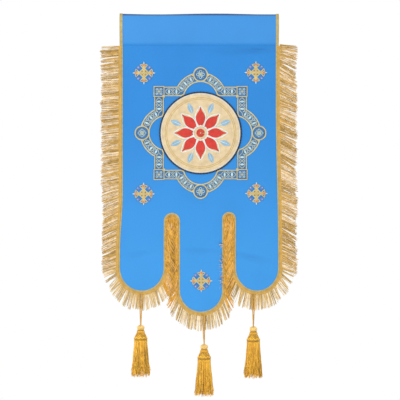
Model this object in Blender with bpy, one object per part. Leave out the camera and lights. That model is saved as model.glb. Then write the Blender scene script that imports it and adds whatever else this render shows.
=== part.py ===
"""Church banner with three tongues, a pole pocket, gold binding, fringe and tassels.

Sizes are in metres. X runs across the banner, Z is up, and the front faces -Y. The origin is the middle of
the top edge of the pole pocket, where a cross bar carries the banner.
"""
import math
from collections import namedtuple

import bpy
import bmesh
from mathutils import Vector

# Cloth
CLOTH_HALF_WIDTH = 0.262
CLOTH_THICKNESS = 0.002
LAYER_GAP = 0.0003
CLOTH_FRONT = -CLOTH_THICKNESS / 2
CLOTH_BACK = CLOTH_THICKNESS / 2
GRID_PITCH = 0.040
SLOT_TOP = {"left": -0.667, "right": -0.664}

# Soft shape in which the cloth hangs. Turns are in radians for each metre
EDGE_WAVE_FROM = 0.170
EDGE_WAVE_DEPTH = 0.0014
EDGE_WAVE_TURN = 9.0
EDGE_WAVE_START = {"left": 0.8, "right": 2.3}
EDGE_WAVE_FADE = 0.060
CURL_FROM = -0.640
CURL_TO = -0.992
CURL_DEPTH = 0.010
CURL_SWING = 0.002
CURL_SWING_TURN = 11.0
CURL_SWING_START = 0.6
TONGUE_WAVE_DEPTH = 0.0012
TONGUE_WAVE_TURN = (14.0, -8.0)

# Sideways swing of the two side tongues: distance from the middle where it starts, height where it starts and
# where it is full, and the shift of the outer edge
Splay = namedtuple("Splay", "x_from z_from z_to shift")
SPLAYS = {
    "left": Splay(0.0800, -0.600, -0.780, -0.0088),
    "right": Splay(0.1115, -0.300, -0.760, 0.0075),
}

# Pole pocket
SLEEVE_HEIGHT = 0.106
SLEEVE_WALL = 0.0018
SLEEVE_HALF_GAP = 0.0130
SLEEVE_SEAM_HALF_DEPTH = 0.0019
SLEEVE_SEAM_HEIGHT = 0.006
SLEEVE_WAVE = 0.0010
SLEEVE_WAVE_LENGTH = 0.37
SLEEVE_WAVE_START = 0.7
SLEEVE_GAP_SWING = 0.06
SLEEVE_SECTION_STEPS = 9
SLEEVE_LENGTH_STEPS = 11

# Binding
BINDING_THICKNESS = 0.0008
BINDING_LEG = 0.0095
BINDING_LINE_STEP = 0.038
BINDING_ARC_STEP = 0.016

# Fringe
HEADING_HALF_WIDTH = 0.005
HEADING_THICKNESS = 0.0015
WIDEST_LOCK = 1.5

# Waves that vary the locks' directions and lengths: share, turn in radians from lock to lock, and start
SWING_WAVES = ((0.62, 0.31, 0.0), (0.38, 1.05, 1.0))
LENGTH_WAVES = ((0.035, 1.90, 0.0), (0.020, 0.43, 0.0))
FRONT_LAYER = -0.00205
BACK_LAYER = 0.00185

# Ornament, with its centre on the panel
ORNAMENT_CENTRE = (0.0043, -0.3940)
MEDALLION_RADIUS = 0.1317
MEDALLION_THICKNESS = 0.002
MEDALLION_CORD_RADIUS = 0.134
MEDALLION_CORD_THICKNESS = 0.004
MEDALLION_SIDES = 64
ORNAMENT_THICKNESS = 0.0008
FRAME_BAND = 0.032
FRAME_HALF_SIDE = 0.137
FRAME_CORNER = 0.037
LOBE_OFFSET = 0.113
LOBE_RADIUS = 0.071
ROUNDEL_OFFSET = 0.193
ROUNDEL_RADIUS = 0.0245
FRAME_CLEARANCE = 0.0004

# Crosses
CROSS_TIP = 0.0370
CROSS_LOBE = 0.0315

# Tassels
TASSEL_SIDES = 16
SKIRT_INSET = 0.0062
SKIRT_INNER_INSET = 0.0058
HANGER_DIAMETER = 0.004
HANGER_Y = -0.0062
HANGER_FOOT_SPREAD = 0.0003
HANGER_POINT_PITCH = 2.5 * HANGER_DIAMETER
HANGER_READ_STEPS = 16

BLUE = (0.069, 0.319, 0.745)
GOLD = (0.630, 0.361, 0.082)
PALE_GOLD = (0.603, 0.456, 0.221)
DEEP_GOLD = (0.571, 0.296, 0.045)
CREAM = (0.723, 0.571, 0.361)
NAVY = (0.012, 0.033, 0.093)

# Steps of a fringe lock: share of its length, share of the room between its neighbours that it fills, and its
# thickness against the heading's
LOCK_STEPS = (
    (0.45, 0.90, 0.90),
    (1.00, 0.78, 0.65),
)

EdgePoint = namedtuple("EdgePoint", "x z nx nz")
Stretch = namedtuple("Stretch", "name point length curved")
Lock = namedtuple("Lock", "root direction length layer")

# Tongues from left to right, with the x of both long edges, the z where the rounding starts and its depth
Tongue = namedtuple("Tongue", "name left right round_from round_depth")
TONGUES = (
    Tongue("left", -CLOTH_HALF_WIDTH, -0.1068, -0.839, 0.084),
    Tongue("middle", -0.0730, 0.0849, -0.913, 0.079),
    Tongue("right", 0.1115, CLOTH_HALF_WIDTH, -0.839, 0.084),
)

# Fringe along each stretch of the edge: the locks in it, the bare sections before and after them, the length
# of a lock, how much longer the middle locks are, the droop in degrees at the start and the end of the stretch
# (0 is square to the edge, 90 is straight down), the layer at the start and the end, and the largest swing of
# a lock's direction in degrees
FringeRow = namedtuple(
    "FringeRow", "locks bare_before bare_after length longer droop_a droop_b layer_a layer_b swing")
FRINGE_ROWS = {
    "left_side": FringeRow(57, 0, 0, 0.0585, 0.0, 6, 16, 0, 0, 5.0),
    "left_bottom": FringeRow(20, 0, 0, 0.0515, 0.0, 16, 62, 0, FRONT_LAYER, 1.6),
    "left_slot_left": FringeRow(8, 0, 2, 0.0450, 0.0, 65, 68, FRONT_LAYER, FRONT_LAYER, 1.0),
    "left_slot_top": FringeRow(4, 1, 1, 0.0270, 0.9, 90, 90, 0, 0, 0.0),
    "left_slot_right": FringeRow(12, 2, 0, 0.0450, 0.0, 68, 60, BACK_LAYER, BACK_LAYER, 1.0),
    "middle_bottom": FringeRow(20, 0, 0, 0.0515, 0.0, 60, 60, BACK_LAYER, BACK_LAYER, 1.6),
    "right_slot_left": FringeRow(12, 0, 2, 0.0440, 0.0, 62, 72, BACK_LAYER, BACK_LAYER, 1.0),
    "right_slot_top": FringeRow(4, 1, 1, 0.0260, 0.9, 90, 90, 0, 0, 0.0),
    "right_slot_right": FringeRow(8, 2, 0, 0.0440, 0.0, 72, 66, FRONT_LAYER, FRONT_LAYER, 1.0),
    "right_bottom": FringeRow(20, 0, 0, 0.0515, 0.0, 62, 28, FRONT_LAYER, 0, 1.6),
    "right_side": FringeRow(57, 0, 0, 0.0590, 0.0, 28, 16, 0, 0, 5.0),
}

# Small crosses: node name and centre
CROSSES = (
    ("cross_upper_left", -0.1825, -0.1960),
    ("cross_upper_right", 0.1870, -0.1945),
    ("cross_lower_left", -0.1835, -0.5950),
    ("cross_lower_right", 0.1885, -0.5935),
    ("cross_tongue", 0.0065, -0.8815),
)

# Outline of a cross over one eighth turn, from the middle of an arm to the diagonal: angle in degrees and the
# share of the way from the lobe's radius (0) to the tip's radius (1)
CROSS_OUTLINE = (
    (0.0, 1.00),
    (4.0, 0.35),
    (10.0, -0.15),
    (17.0, -0.20),
    (23.0, -0.85),
    (30.0, -0.15),
    (38.0, 0.12),
    (45.0, 0.18),
)

# Tassel head from the top down: depth below the head's top and radius
TASSEL_PROFILE = (
    (0.0000, 0.0048),
    (0.0025, 0.0088),
    (0.0090, 0.0113),
    (0.0155, 0.0100),
    (0.0190, 0.0112),
    (0.0235, 0.0112),
    (0.0300, 0.0150),
    (0.0380, 0.0186),
    (0.0425, 0.0204),
    (0.0500, 0.0206),
)

# Skirt of a tassel: depth below the head's top, the radius of the outer locks' middle line and the lock's
# size against its root, in two steps
SKIRT_STEPS = (
    (0.105, 0.0212, 1.10),
    (0.168, 0.0262, 1.16),
)
INNER_SKIRT_STEPS = (
    (0.100, 0.0120, 1.15),
    (0.160, 0.0150, 1.25),
)

# Legs of a tassel's hanging cord, which come together so that one hides the other: share of the way from the
# fringe heading to the head, and the depth of each leg
HangerStep = namedtuple("HangerStep", "share depth_a depth_b")
HANGER_STEPS = (
    HangerStep(0.00, 0.0000, 0.0000),
    HangerStep(0.30, -0.0007, 0.0000),
    HangerStep(0.60, -0.0018, 0.0000),
    HangerStep(0.80, -0.0024, 0.0014),
    HangerStep(1.00, -0.0023, 0.0022),
)

# Tassels: side, the middle of the head, its top, and the hanger legs' top x and z
TasselRow = namedtuple("TasselRow", "name x top leg_a_x leg_b_x leg_top")
TASSELS = (
    TasselRow("left", -0.1925, -1.0265, -0.1967, -0.1874, -0.9235),
    TasselRow("middle", 0.0162, -1.0895, 0.0093, 0.0186, -0.9920),
    TasselRow("right", 0.1782, -1.0315, 0.1737, 0.1830, -0.9235),
)


def clamp(value):
    """Keep a value between 0 and 1."""
    return min(max(value, 0.0), 1.0)


def smooth(value):
    """Rise from 0 to 1 with level ends."""
    value = clamp(value)
    return value * value * (3.0 - 2.0 * value)


def drape(x, z):
    """Depth of the cloth's middle at a place: flat under the ornament, soft waves at the sides and tongues."""
    outwards = (abs(x) - EDGE_WAVE_FROM) / (CLOTH_HALF_WIDTH - EDGE_WAVE_FROM)
    start = EDGE_WAVE_START["left" if x < 0 else "right"]
    edge_wave = EDGE_WAVE_DEPTH * clamp(outwards) ** 2 * math.sin(EDGE_WAVE_TURN * z + start)
    below = clamp((z - CURL_FROM) / (CURL_TO - CURL_FROM)) ** 2
    curl = CURL_DEPTH + CURL_SWING * math.cos(CURL_SWING_TURN * x + CURL_SWING_START)
    tongue_wave = TONGUE_WAVE_DEPTH * math.sin(TONGUE_WAVE_TURN[0] * x + TONGUE_WAVE_TURN[1] * z)
    under_seam = smooth((-z - SLEEVE_HEIGHT) / EDGE_WAVE_FADE)
    return under_seam * edge_wave - below * (curl - tongue_wave)


def shade_piece(obj, colour, roughness, metallic):
    """Give a piece a plain material of its own."""
    material = bpy.data.materials.new(obj.name)
    material.use_nodes = True
    shader = material.node_tree.nodes["Principled BSDF"]
    shader.inputs["Base Color"].default_value = (*colour, 1.0)
    shader.inputs["Roughness"].default_value = roughness
    shader.inputs["Metallic"].default_value = metallic
    obj.data.materials.append(material)


def place_piece(name, bm, holder, colour, roughness=0.7, metallic=0.0):
    """Turn a finished bmesh into a named object with its material."""
    mesh = bpy.data.meshes.new(name)
    bm.to_mesh(mesh)
    bm.free()
    obj = bpy.data.objects.new(name, mesh)
    bpy.context.scene.collection.objects.link(obj)
    obj.parent = holder
    shade_piece(obj, colour, roughness, metallic)
    return obj


def splay(x, z):
    """Sideways shift of the cloth at a place: none in its middle, most at its two long edges."""
    swing = SPLAYS["left" if x < 0 else "right"]
    across = clamp((abs(x) - swing.x_from) / (CLOTH_HALF_WIDTH - swing.x_from))
    return swing.shift * across * smooth((swing.z_from - z) / (swing.z_from - swing.z_to))


def line_stretch(name, start, end, nx):
    """Long stretch of the cloth's edge with its outward normal along X."""
    def point(u):
        x = start[0] + (end[0] - start[0]) * u
        z = start[1] + (end[1] - start[1]) * u
        return EdgePoint(x + splay(x, z), z, nx, 0.0)
    return Stretch(name, point, math.dist(start, end), False)


def arc_stretch(name, centre, half_width, depth, first_turn, last_turn, outward):
    """Elliptic stretch of the cloth's edge. Outward is 1 round a tongue and -1 round the top of a slot."""
    def point(u):
        turn = math.radians(first_turn + (last_turn - first_turn) * u)
        nx = math.cos(turn) / half_width
        nz = math.sin(turn) / depth
        size = math.hypot(nx, nz) * outward
        x = centre[0] + half_width * math.cos(turn)
        z = centre[1] + depth * math.sin(turn)
        return EdgePoint(x + splay(x, z), z, nx / size, nz / size)
    return Stretch(name, point, math.pi * (half_width + depth) / 2, True)


def tongue_bottom(tongue):
    """Rounded end of a tongue, from its left edge to its right edge."""
    half_width = (tongue.right - tongue.left) / 2
    centre = (tongue.left + half_width, tongue.round_from)
    return arc_stretch(tongue.name + "_bottom", centre, half_width, tongue.round_depth, 180.0, 360.0, 1)


def slot_edge(side, left_tongue, right_tongue):
    """Edge of a slot: up its left side, over its round top and down its right side."""
    radius = (right_tongue.left - left_tongue.right) / 2
    spring = SLOT_TOP[side] - radius
    name = side + "_slot"
    middle = (left_tongue.right + radius, spring)
    up = line_stretch(name + "_left", (left_tongue.right, left_tongue.round_from), (left_tongue.right, spring), 1.0)
    over = arc_stretch(name + "_top", middle, radius, radius, 180.0, 0.0, -1)
    down = line_stretch(
        name + "_right", (right_tongue.left, spring), (right_tongue.left, right_tongue.round_from), -1.0)
    return [up, over, down]


def cloth_edge():
    """Stretches of the panel's edge, from the top left corner round the tongues to the top right corner."""
    left, middle, right = TONGUES
    top = -SLEEVE_HEIGHT - LAYER_GAP
    stretches = [line_stretch("left_side", (left.left, top), (left.left, left.round_from), -1.0)]
    stretches.append(tongue_bottom(left))
    stretches.extend(slot_edge("left", left, middle))
    stretches.append(tongue_bottom(middle))
    stretches.extend(slot_edge("right", middle, right))
    stretches.append(tongue_bottom(right))
    stretches.append(line_stretch("right_side", (right.right, right.round_from), (right.right, top), 1.0))
    return stretches


def edge_points(stretches):
    """Points along the cloth's edge, close together on the round stretches."""
    points = []
    for stretch in stretches:
        step = BINDING_ARC_STEP if stretch.curved else BINDING_LINE_STEP
        count = max(6 if stretch.curved else 2, math.ceil(stretch.length / step))
        points.extend(stretch.point(index / count) for index in range(count))
    points.append(stretches[-1].point(1.0))
    return points


def flat_face(loops):
    """Flat shape in the X-Z plane from closed outlines, the outer one first."""
    bm = bmesh.new()
    edges = []
    for loop in loops:
        verts = [bm.verts.new((x, 0.0, z)) for x, z in loop]
        edges.extend(bm.edges.new((verts[index - 1], verts[index])) for index in range(len(verts)))
    if len(loops) == 1:
        bmesh.ops.contextual_create(bm, geom=edges)
    else:
        bmesh.ops.triangle_fill(bm, edges=edges, use_beauty=True)
    return bm


def cut_on_grid(bm):
    """Cut a flat shape along the cloth's grid, so that it can follow the drape."""
    for axis in (0, 2):
        values = [vert.co[axis] for vert in bm.verts]
        low = math.floor(min(values) / GRID_PITCH) + 1
        high = math.ceil(max(values) / GRID_PITCH)
        normal = Vector((1.0, 0.0, 0.0)) if axis == 0 else Vector((0.0, 0.0, 1.0))
        for step in range(low, high):
            geometry = bm.verts[:] + bm.edges[:] + bm.faces[:]
            place = normal * step * GRID_PITCH
            bmesh.ops.bisect_plane(bm, geom=geometry, dist=1e-6, plane_co=place, plane_no=normal)


def thicken(bm, front, back):
    """Turn a flat shape into a closed slab that lies between two depths on the draped cloth."""
    result = bmesh.ops.extrude_face_region(bm, geom=bm.faces[:], use_keep_orig=True)
    moved = {item for item in result["geom"] if isinstance(item, bmesh.types.BMVert)}
    for vert in bm.verts:
        vert.co.y = drape(vert.co.x, vert.co.z) + (front if vert in moved else back)
    bmesh.ops.recalc_face_normals(bm, faces=bm.faces[:])


def sweep(bm, rings, closed=False):
    """Skin a row of rings, each a list of places in the same order, and cap the ends of an open row."""
    rows = [[bm.verts.new(place) for place in ring] for ring in rings]
    pairs = list(zip(rows, rows[1:]))
    if closed:
        pairs.append((rows[-1], rows[0]))
    faces = []
    for first, second in pairs:
        for index in range(len(first)):
            faces.append(bm.faces.new((first[index - 1], first[index], second[index], second[index - 1])))
    if not closed:
        bm.faces.new(rows[0])
        bm.faces.new(reversed(rows[-1]))
    return faces


def add_cloth(holder, stretches):
    """Blue panel with its three tongues."""
    outline = [(point.x, point.z) for point in edge_points(stretches)]
    bm = flat_face([outline])
    cut_on_grid(bm)
    thicken(bm, CLOTH_FRONT, CLOTH_BACK)
    place_piece("banner_cloth", bm, holder, BLUE, 0.75)


def sleeve_section(x, inner):
    """One ring of the pole pocket's section, from the seam up the front, over the fold and down the back."""
    turn_along = 2 * math.pi * x / SLEEVE_WAVE_LENGTH
    wave = SLEEVE_WAVE * (math.sin(turn_along + SLEEVE_WAVE_START) - math.sin(SLEEVE_WAVE_START))
    half_gap = SLEEVE_HALF_GAP * (1.0 + SLEEVE_GAP_SWING * math.cos(turn_along))
    half = []
    for step in range(SLEEVE_SECTION_STEPS + 1):
        turn = math.pi * step / SLEEVE_SECTION_STEPS
        fullness = math.sin(turn) * math.sin(turn / 2)
        rise = (1.0 - math.cos(turn)) / 2
        if inner:
            depth = half_gap * fullness
            z = -SLEEVE_HEIGHT + SLEEVE_SEAM_HEIGHT
            z += (SLEEVE_HEIGHT - SLEEVE_SEAM_HEIGHT - SLEEVE_WALL) * rise
        else:
            depth = SLEEVE_SEAM_HALF_DEPTH * math.cos(turn / 2) + (half_gap + SLEEVE_WALL) * fullness
            z = -SLEEVE_HEIGHT + SLEEVE_HEIGHT * rise
        half.append((depth, z + wave * rise * rise))
    front = [(-depth, z) for depth, z in half]
    if inner:
        return front + [(depth, z) for depth, z in reversed(half[1:-1])]
    return front + [(depth, z) for depth, z in reversed(half[:-1])]


def add_sleeve(holder):
    """Pole pocket: a flat teardrop tube of cloth, open at both ends."""
    bm = bmesh.new()
    outer_rows = []
    inner_rows = []
    for step in range(SLEEVE_LENGTH_STEPS + 1):
        x = -CLOTH_HALF_WIDTH + 2 * CLOTH_HALF_WIDTH * step / SLEEVE_LENGTH_STEPS
        outer_rows.append([bm.verts.new((x, y, z)) for y, z in sleeve_section(x, False)])
        inner_rows.append([bm.verts.new((x, y, z)) for y, z in sleeve_section(x, True)])
    for rows in (outer_rows, inner_rows):
        for first, second in zip(rows, rows[1:]):
            for index in range(len(first)):
                bm.faces.new((first[index - 1], first[index], second[index], second[index - 1]))
    for end in (0, -1):
        outer = outer_rows[end]
        inner = inner_rows[end]
        for index in range(len(inner)):
            bm.faces.new((outer[index], outer[index + 1], inner[(index + 1) % len(inner)], inner[index]))
        bm.faces.new((outer[-1], outer[0], inner[0]))
    bmesh.ops.recalc_face_normals(bm, faces=bm.faces[:])
    sleeve = place_piece("rod_sleeve", bm, holder, BLUE, 0.75)
    smooth_round(sleeve)


def smooth_round(obj, angle=40.0):
    """Shade a round piece smooth, with its real edges kept sharp."""
    obj.data.shade_smooth()
    obj.data.set_sharp_from_angle(angle=math.radians(angle))


def offset_section(section, distance):
    """Move an open row of (y, z) places outwards from the pocket by a distance."""
    moved = []
    for index, (y, z) in enumerate(section):
        before = section[max(index - 1, 0)]
        after = section[min(index + 1, len(section) - 1)]
        along = Vector((after[0] - before[0], after[1] - before[1])).normalized()
        moved.append((y - along.y * distance, z + along.x * distance))
    return moved


def add_sleeve_binding(holder, side):
    """Gold tape over one end of the pole pocket, from the front seam over the fold to the back seam."""
    sign = -1.0 if side == "left" else 1.0
    rings = []
    for x in (sign * (CLOTH_HALF_WIDTH - BINDING_LEG), sign * (CLOTH_HALF_WIDTH + 2 * LAYER_GAP)):
        section = sleeve_section(x, False)
        near = offset_section(section, LAYER_GAP)
        far = offset_section(section, LAYER_GAP + BINDING_THICKNESS)
        rings.append([(x, y, z) for y, z in near + far[::-1]])
    bm = bmesh.new()
    sweep(bm, rings)
    bmesh.ops.recalc_face_normals(bm, faces=bm.faces[:])
    place_piece("sleeve_binding_" + side, bm, holder, PALE_GOLD, 0.5, 0.3)


def edge_ring(point, section):
    """Place a section, given as (distance inwards from the edge, depth), at a point of the edge."""
    ring = []
    for inwards, depth in section:
        x = point.x - point.nx * inwards
        z = point.z - point.nz * inwards
        ring.append((x, drape(x, z) + depth, z))
    return ring


def add_edge_binding(holder, stretches):
    """Gold tape folded round the panel's edge."""
    inside = CLOTH_BACK + LAYER_GAP
    outside = inside + BINDING_THICKNESS
    section = (
        (BINDING_LEG, -outside), (-LAYER_GAP - BINDING_THICKNESS, -outside),
        (-LAYER_GAP - BINDING_THICKNESS, outside), (BINDING_LEG, outside),
        (BINDING_LEG, inside), (-LAYER_GAP, inside),
        (-LAYER_GAP, -inside), (BINDING_LEG, -inside),
    )
    bm = bmesh.new()
    sweep(bm, [edge_ring(point, section) for point in edge_points(stretches)])
    bmesh.ops.recalc_face_normals(bm, faces=bm.faces[:])
    place_piece("edge_binding", bm, holder, PALE_GOLD, 0.5, 0.3)


def sum_waves(waves, number):
    """Sum of a few sine waves at a lock's number."""
    return sum(share * math.sin(turn * number + start) for share, turn, start in waves)


def lock_direction(point, droop, swing):
    """Direction of a fringe lock: square to the edge at no droop, and straight down at a droop of 90."""
    square = math.degrees(math.atan2(-point.nz, abs(point.nx)))
    turn = math.radians(square + (droop + swing) * (90.0 - square) / 90.0)
    return Vector((math.copysign(math.cos(turn), point.nx), 0.0, -math.sin(turn)))


def lock_layer(row, share, curved):
    """Depth of a lock's end beside its root: even along a slot, and none at the tip of a tongue."""
    if not curved:
        return row.layer_a
    return row.layer_a * smooth(1.0 - 2.0 * share) + row.layer_b * smooth(2.0 * share - 1.0)


def room_beside(lock, neighbours, reach):
    """Width between a lock's neighbours at a share of its length, against their width at the root."""
    across = Vector((-lock.direction.z, 0.0, lock.direction.x))
    room = WIDEST_LOCK
    for other in neighbours:
        near = (other.root - lock.root).dot(across)
        far = near + (other.direction - lock.direction).dot(across) * lock.length * reach
        room = min(room, far / near)
    return room


def extrude_lock(bm, face, lock, neighbours):
    """Draw a four-sided lock out of its root face in steps."""
    offsets = [vert.co - lock.root for vert in face.verts]
    for reach, fill, thinness in LOCK_STEPS:
        width = fill * room_beside(lock, neighbours, reach)
        face = bmesh.ops.extrude_discrete_faces(bm, faces=[face])["faces"][0]
        middle = lock.root + lock.direction * lock.length * reach
        middle.y += lock.layer
        for vert, offset in zip(face.verts, offsets):
            vert.co = middle + Vector((offset.x * width, offset.y * thinness, offset.z * width))


def fringe_lock(ring_number, point, row, share, curved, root):
    """Work out one lock from its place in its stretch."""
    droop = row.droop_a + (row.droop_b - row.droop_a) * share
    swing = row.swing * sum_waves(SWING_WAVES, ring_number)
    length = row.length * (1.0 + sum_waves(LENGTH_WAVES, ring_number))
    length *= 1.0 + row.longer * math.sin(math.pi * share)
    return Lock(root, lock_direction(point, droop, swing), length, lock_layer(row, share, curved))


def add_fringe(holder, stretches):
    """Fringe: one narrow heading with its locks drawn out of the outer face."""
    back = CLOTH_FRONT - 2 * LAYER_GAP - BINDING_THICKNESS
    front = back - HEADING_THICKNESS
    section = (
        (HEADING_HALF_WIDTH, back), (HEADING_HALF_WIDTH, front),
        (-HEADING_HALF_WIDTH, front), (-HEADING_HALF_WIDTH, back),
    )
    outer_side = len(section) - 1
    rings = []
    places = []
    for stretch in stretches:
        row = FRINGE_ROWS[stretch.name]
        sections = row.bare_before + row.locks + row.bare_after
        for index in range(sections):
            number = index - row.bare_before
            if 0 <= number < row.locks:
                middle = stretch.point((index + 0.5) / sections)
                places.append((len(rings), middle, row, number / (row.locks - 1), stretch.curved))
            rings.append(edge_ring(stretch.point(index / sections), section))
    rings.append(edge_ring(stretches[-1].point(1.0), section))
    bm = bmesh.new()
    faces = sweep(bm, rings)
    bmesh.ops.recalc_face_normals(bm, faces=bm.faces[:])
    roots = {place[0]: faces[place[0] * len(section) + outer_side] for place in places}
    locks = {place[0]: fringe_lock(*place, roots[place[0]].calc_center_median()) for place in places}
    for number, lock in locks.items():
        neighbours = [locks[beside] for beside in (number - 1, number + 1) if beside in locks]
        extrude_lock(bm, roots[number], lock, neighbours)
    place_piece("fringe", bm, holder, GOLD, 0.6, 0.2)


def circle(centre, radius, first_turn, last_turn, steps):
    """Points of an arc in the X-Z plane, both ends included. A turn of 90 degrees points up."""
    points = []
    for step in range(steps + 1):
        turn = math.radians(first_turn + (last_turn - first_turn) * step / steps)
        points.append((centre[0] + radius * math.cos(turn), centre[1] + radius * math.sin(turn)))
    return points


def add_medallion(holder):
    """Round patch in the middle of the ornament."""
    outline = circle(ORNAMENT_CENTRE, MEDALLION_RADIUS, 0.0, 360.0, MEDALLION_SIDES)[:-1]
    bm = flat_face([outline])
    back = CLOTH_FRONT - LAYER_GAP
    thicken(bm, back - MEDALLION_THICKNESS, back)
    place_piece("medallion", bm, holder, CREAM, 0.7)


def add_medallion_cord(holder):
    """Dark cord sewn round the medallion."""
    radius = MEDALLION_CORD_THICKNESS / 2
    depth = CLOTH_FRONT - LAYER_GAP - radius
    rings = []
    for x, z in circle((0.0, 0.0), 1.0, 0.0, 360.0, MEDALLION_SIDES)[:-1]:
        ring = []
        for inwards, forwards in circle((0.0, 0.0), radius, 0.0, 360.0, 6)[:-1]:
            reach = MEDALLION_CORD_RADIUS + inwards
            ring.append((ORNAMENT_CENTRE[0] + x * reach, depth + forwards, ORNAMENT_CENTRE[1] + z * reach))
        rings.append(ring)
    bm = bmesh.new()
    sweep(bm, rings, closed=True)
    bmesh.ops.recalc_face_normals(bm, faces=bm.faces[:])
    cord = place_piece("medallion_cord", bm, holder, NAVY, 0.6)
    smooth_round(cord, 70.0)


def frame_outer_eighth():
    """Outer edge of the frame from the top of a roundel to the corner of a corner square."""
    lobe_outer = LOBE_RADIUS + FRAME_BAND / 2
    band_outer = FRAME_HALF_SIDE + FRAME_BAND / 2
    corner_near = FRAME_HALF_SIDE - FRAME_CORNER / 2
    corner_far = FRAME_HALF_SIDE + FRAME_CORNER / 2
    spread = ROUNDEL_OFFSET - LOBE_OFFSET
    rise = (spread ** 2 + lobe_outer ** 2 - ROUNDEL_RADIUS ** 2) / (2 * spread)
    meet_on_lobe = math.degrees(math.asin(rise / lobe_outer))
    meet_on_roundel = math.degrees(math.asin((rise - spread) / ROUNDEL_RADIUS))
    band_on_lobe = math.degrees(math.asin((band_outer - LOBE_OFFSET) / lobe_outer))
    points = circle((0.0, ROUNDEL_OFFSET), ROUNDEL_RADIUS, 90.0, meet_on_roundel, 5)
    points += circle((0.0, LOBE_OFFSET), lobe_outer, meet_on_lobe, band_on_lobe, 6)[1:]
    points += [(corner_near, band_outer), (corner_near, corner_far), (corner_far, corner_far)]
    return points


def frame_inner_eighth():
    """Inner edge of the frame from the top of a lobe's opening, along the medallion, to a square's corner."""
    lobe_inner = LOBE_RADIUS - FRAME_BAND / 2
    band_inner = FRAME_HALF_SIDE - FRAME_BAND / 2
    corner_near = FRAME_HALF_SIDE - FRAME_CORNER / 2
    hole = MEDALLION_CORD_RADIUS + MEDALLION_CORD_THICKNESS / 2 + FRAME_CLEARANCE
    meet_z = (hole ** 2 - lobe_inner ** 2 + LOBE_OFFSET ** 2) / (2 * LOBE_OFFSET)
    meet_on_lobe = math.degrees(math.asin((meet_z - LOBE_OFFSET) / lobe_inner))
    meet_on_hole = math.degrees(math.asin(meet_z / hole))
    band_on_hole = math.degrees(math.asin(band_inner / hole))
    points = circle((0.0, LOBE_OFFSET), lobe_inner, 90.0, meet_on_lobe, 7)
    points += circle((0.0, 0.0), hole, meet_on_hole, band_on_hole, 2)[1:]
    points += [(corner_near, band_inner), (corner_near, corner_near)]
    return points


def mirrored_round(eighth):
    """Repeat one eighth of an outline, given from the top clockwise to the diagonal, all the way round."""
    quarter = eighth + [(z, x) for x, z in reversed(eighth[:-1])]
    outline = []
    for turn in range(4):
        for x, z in quarter[:-1]:
            for _ in range(turn):
                x, z = z, -x
            outline.append((ORNAMENT_CENTRE[0] + x, ORNAMENT_CENTRE[1] + z))
    return outline


def add_frame(holder):
    """Embroidered frame: a square band that swings out into four lobes, with squares and roundels."""
    bm = flat_face([mirrored_round(frame_outer_eighth()), mirrored_round(frame_inner_eighth())])
    cut_on_grid(bm)
    back = CLOTH_FRONT - LAYER_GAP
    thicken(bm, back - ORNAMENT_THICKNESS, back)
    place_piece("ornament_frame", bm, holder, CREAM, 0.65, 0.1)


def add_cross(holder, name, centre_x, centre_z):
    """Small cross with pointed arms and round lobes between them."""
    eighth = []
    for turn, share in CROSS_OUTLINE:
        radius = CROSS_LOBE + (CROSS_TIP - CROSS_LOBE) * share
        eighth.append((radius, turn))
    quarter = eighth + [(radius, 90.0 - turn) for radius, turn in reversed(eighth[1:-1])]
    outline = []
    for arm in range(4):
        for radius, turn in quarter:
            angle = math.radians(turn + 90.0 * arm)
            outline.append((centre_x + radius * math.sin(angle), centre_z + radius * math.cos(angle)))
    bm = flat_face([outline])
    cut_on_grid(bm)
    back = CLOTH_FRONT - LAYER_GAP
    thicken(bm, back - ORNAMENT_THICKNESS, back)
    place_piece(name, bm, holder, PALE_GOLD, 0.6, 0.2)


def skirt_lock(bm, root, axis, top, steps):
    """Draw a skirt lock down from a face under the tassel's head, leaning outwards."""
    centre = root.calc_center_median()
    places = [vert.co.copy() for vert in root.verts]
    outwards = Vector((centre.x - axis.x, centre.y - axis.y, 0.0)).normalized()
    face = root
    for depth, radius, scale in steps:
        face = bmesh.ops.extrude_discrete_faces(bm, faces=[face])["faces"][0]
        middle = Vector((axis.x, axis.y, top - depth)) + outwards * radius
        for vert, place in zip(face.verts, places):
            vert.co = middle + (place - centre) * scale


def add_tassel(holder, row):
    """Tassel: a turned head with a ring of outer and inner skirt locks."""
    axis = Vector((row.x, HANGER_Y + drape(row.x, row.leg_top), 0.0))
    rings = []
    for depth, radius in TASSEL_PROFILE:
        ring = []
        for side in range(TASSEL_SIDES):
            turn = 2 * math.pi * side / TASSEL_SIDES
            x = axis.x + radius * math.cos(turn)
            ring.append((x, axis.y + radius * math.sin(turn), row.top - depth))
        rings.append(ring)
    bm = bmesh.new()
    sweep(bm, rings)
    bmesh.ops.recalc_face_normals(bm, faces=bm.faces[:])
    bottom = min(bm.faces, key=lambda face: face.calc_center_median().z)
    outer = bmesh.ops.inset_region(bm, faces=[bottom], thickness=SKIRT_INSET, use_even_offset=True)["faces"]
    inner = bmesh.ops.inset_region(bm, faces=[bottom], thickness=SKIRT_INNER_INSET, use_even_offset=True)["faces"]
    inner.sort(key=lambda face: math.atan2(
        face.calc_center_median().y - axis.y, face.calc_center_median().x - axis.x))
    for root in outer:
        skirt_lock(bm, root, axis, row.top, SKIRT_STEPS)
    for root in inner[::2]:
        skirt_lock(bm, root, axis, row.top, INNER_SKIRT_STEPS)
    tassel = place_piece("tassel_" + row.name, bm, holder, DEEP_GOLD, 0.55, 0.3)
    smooth_round(tassel)


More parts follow.
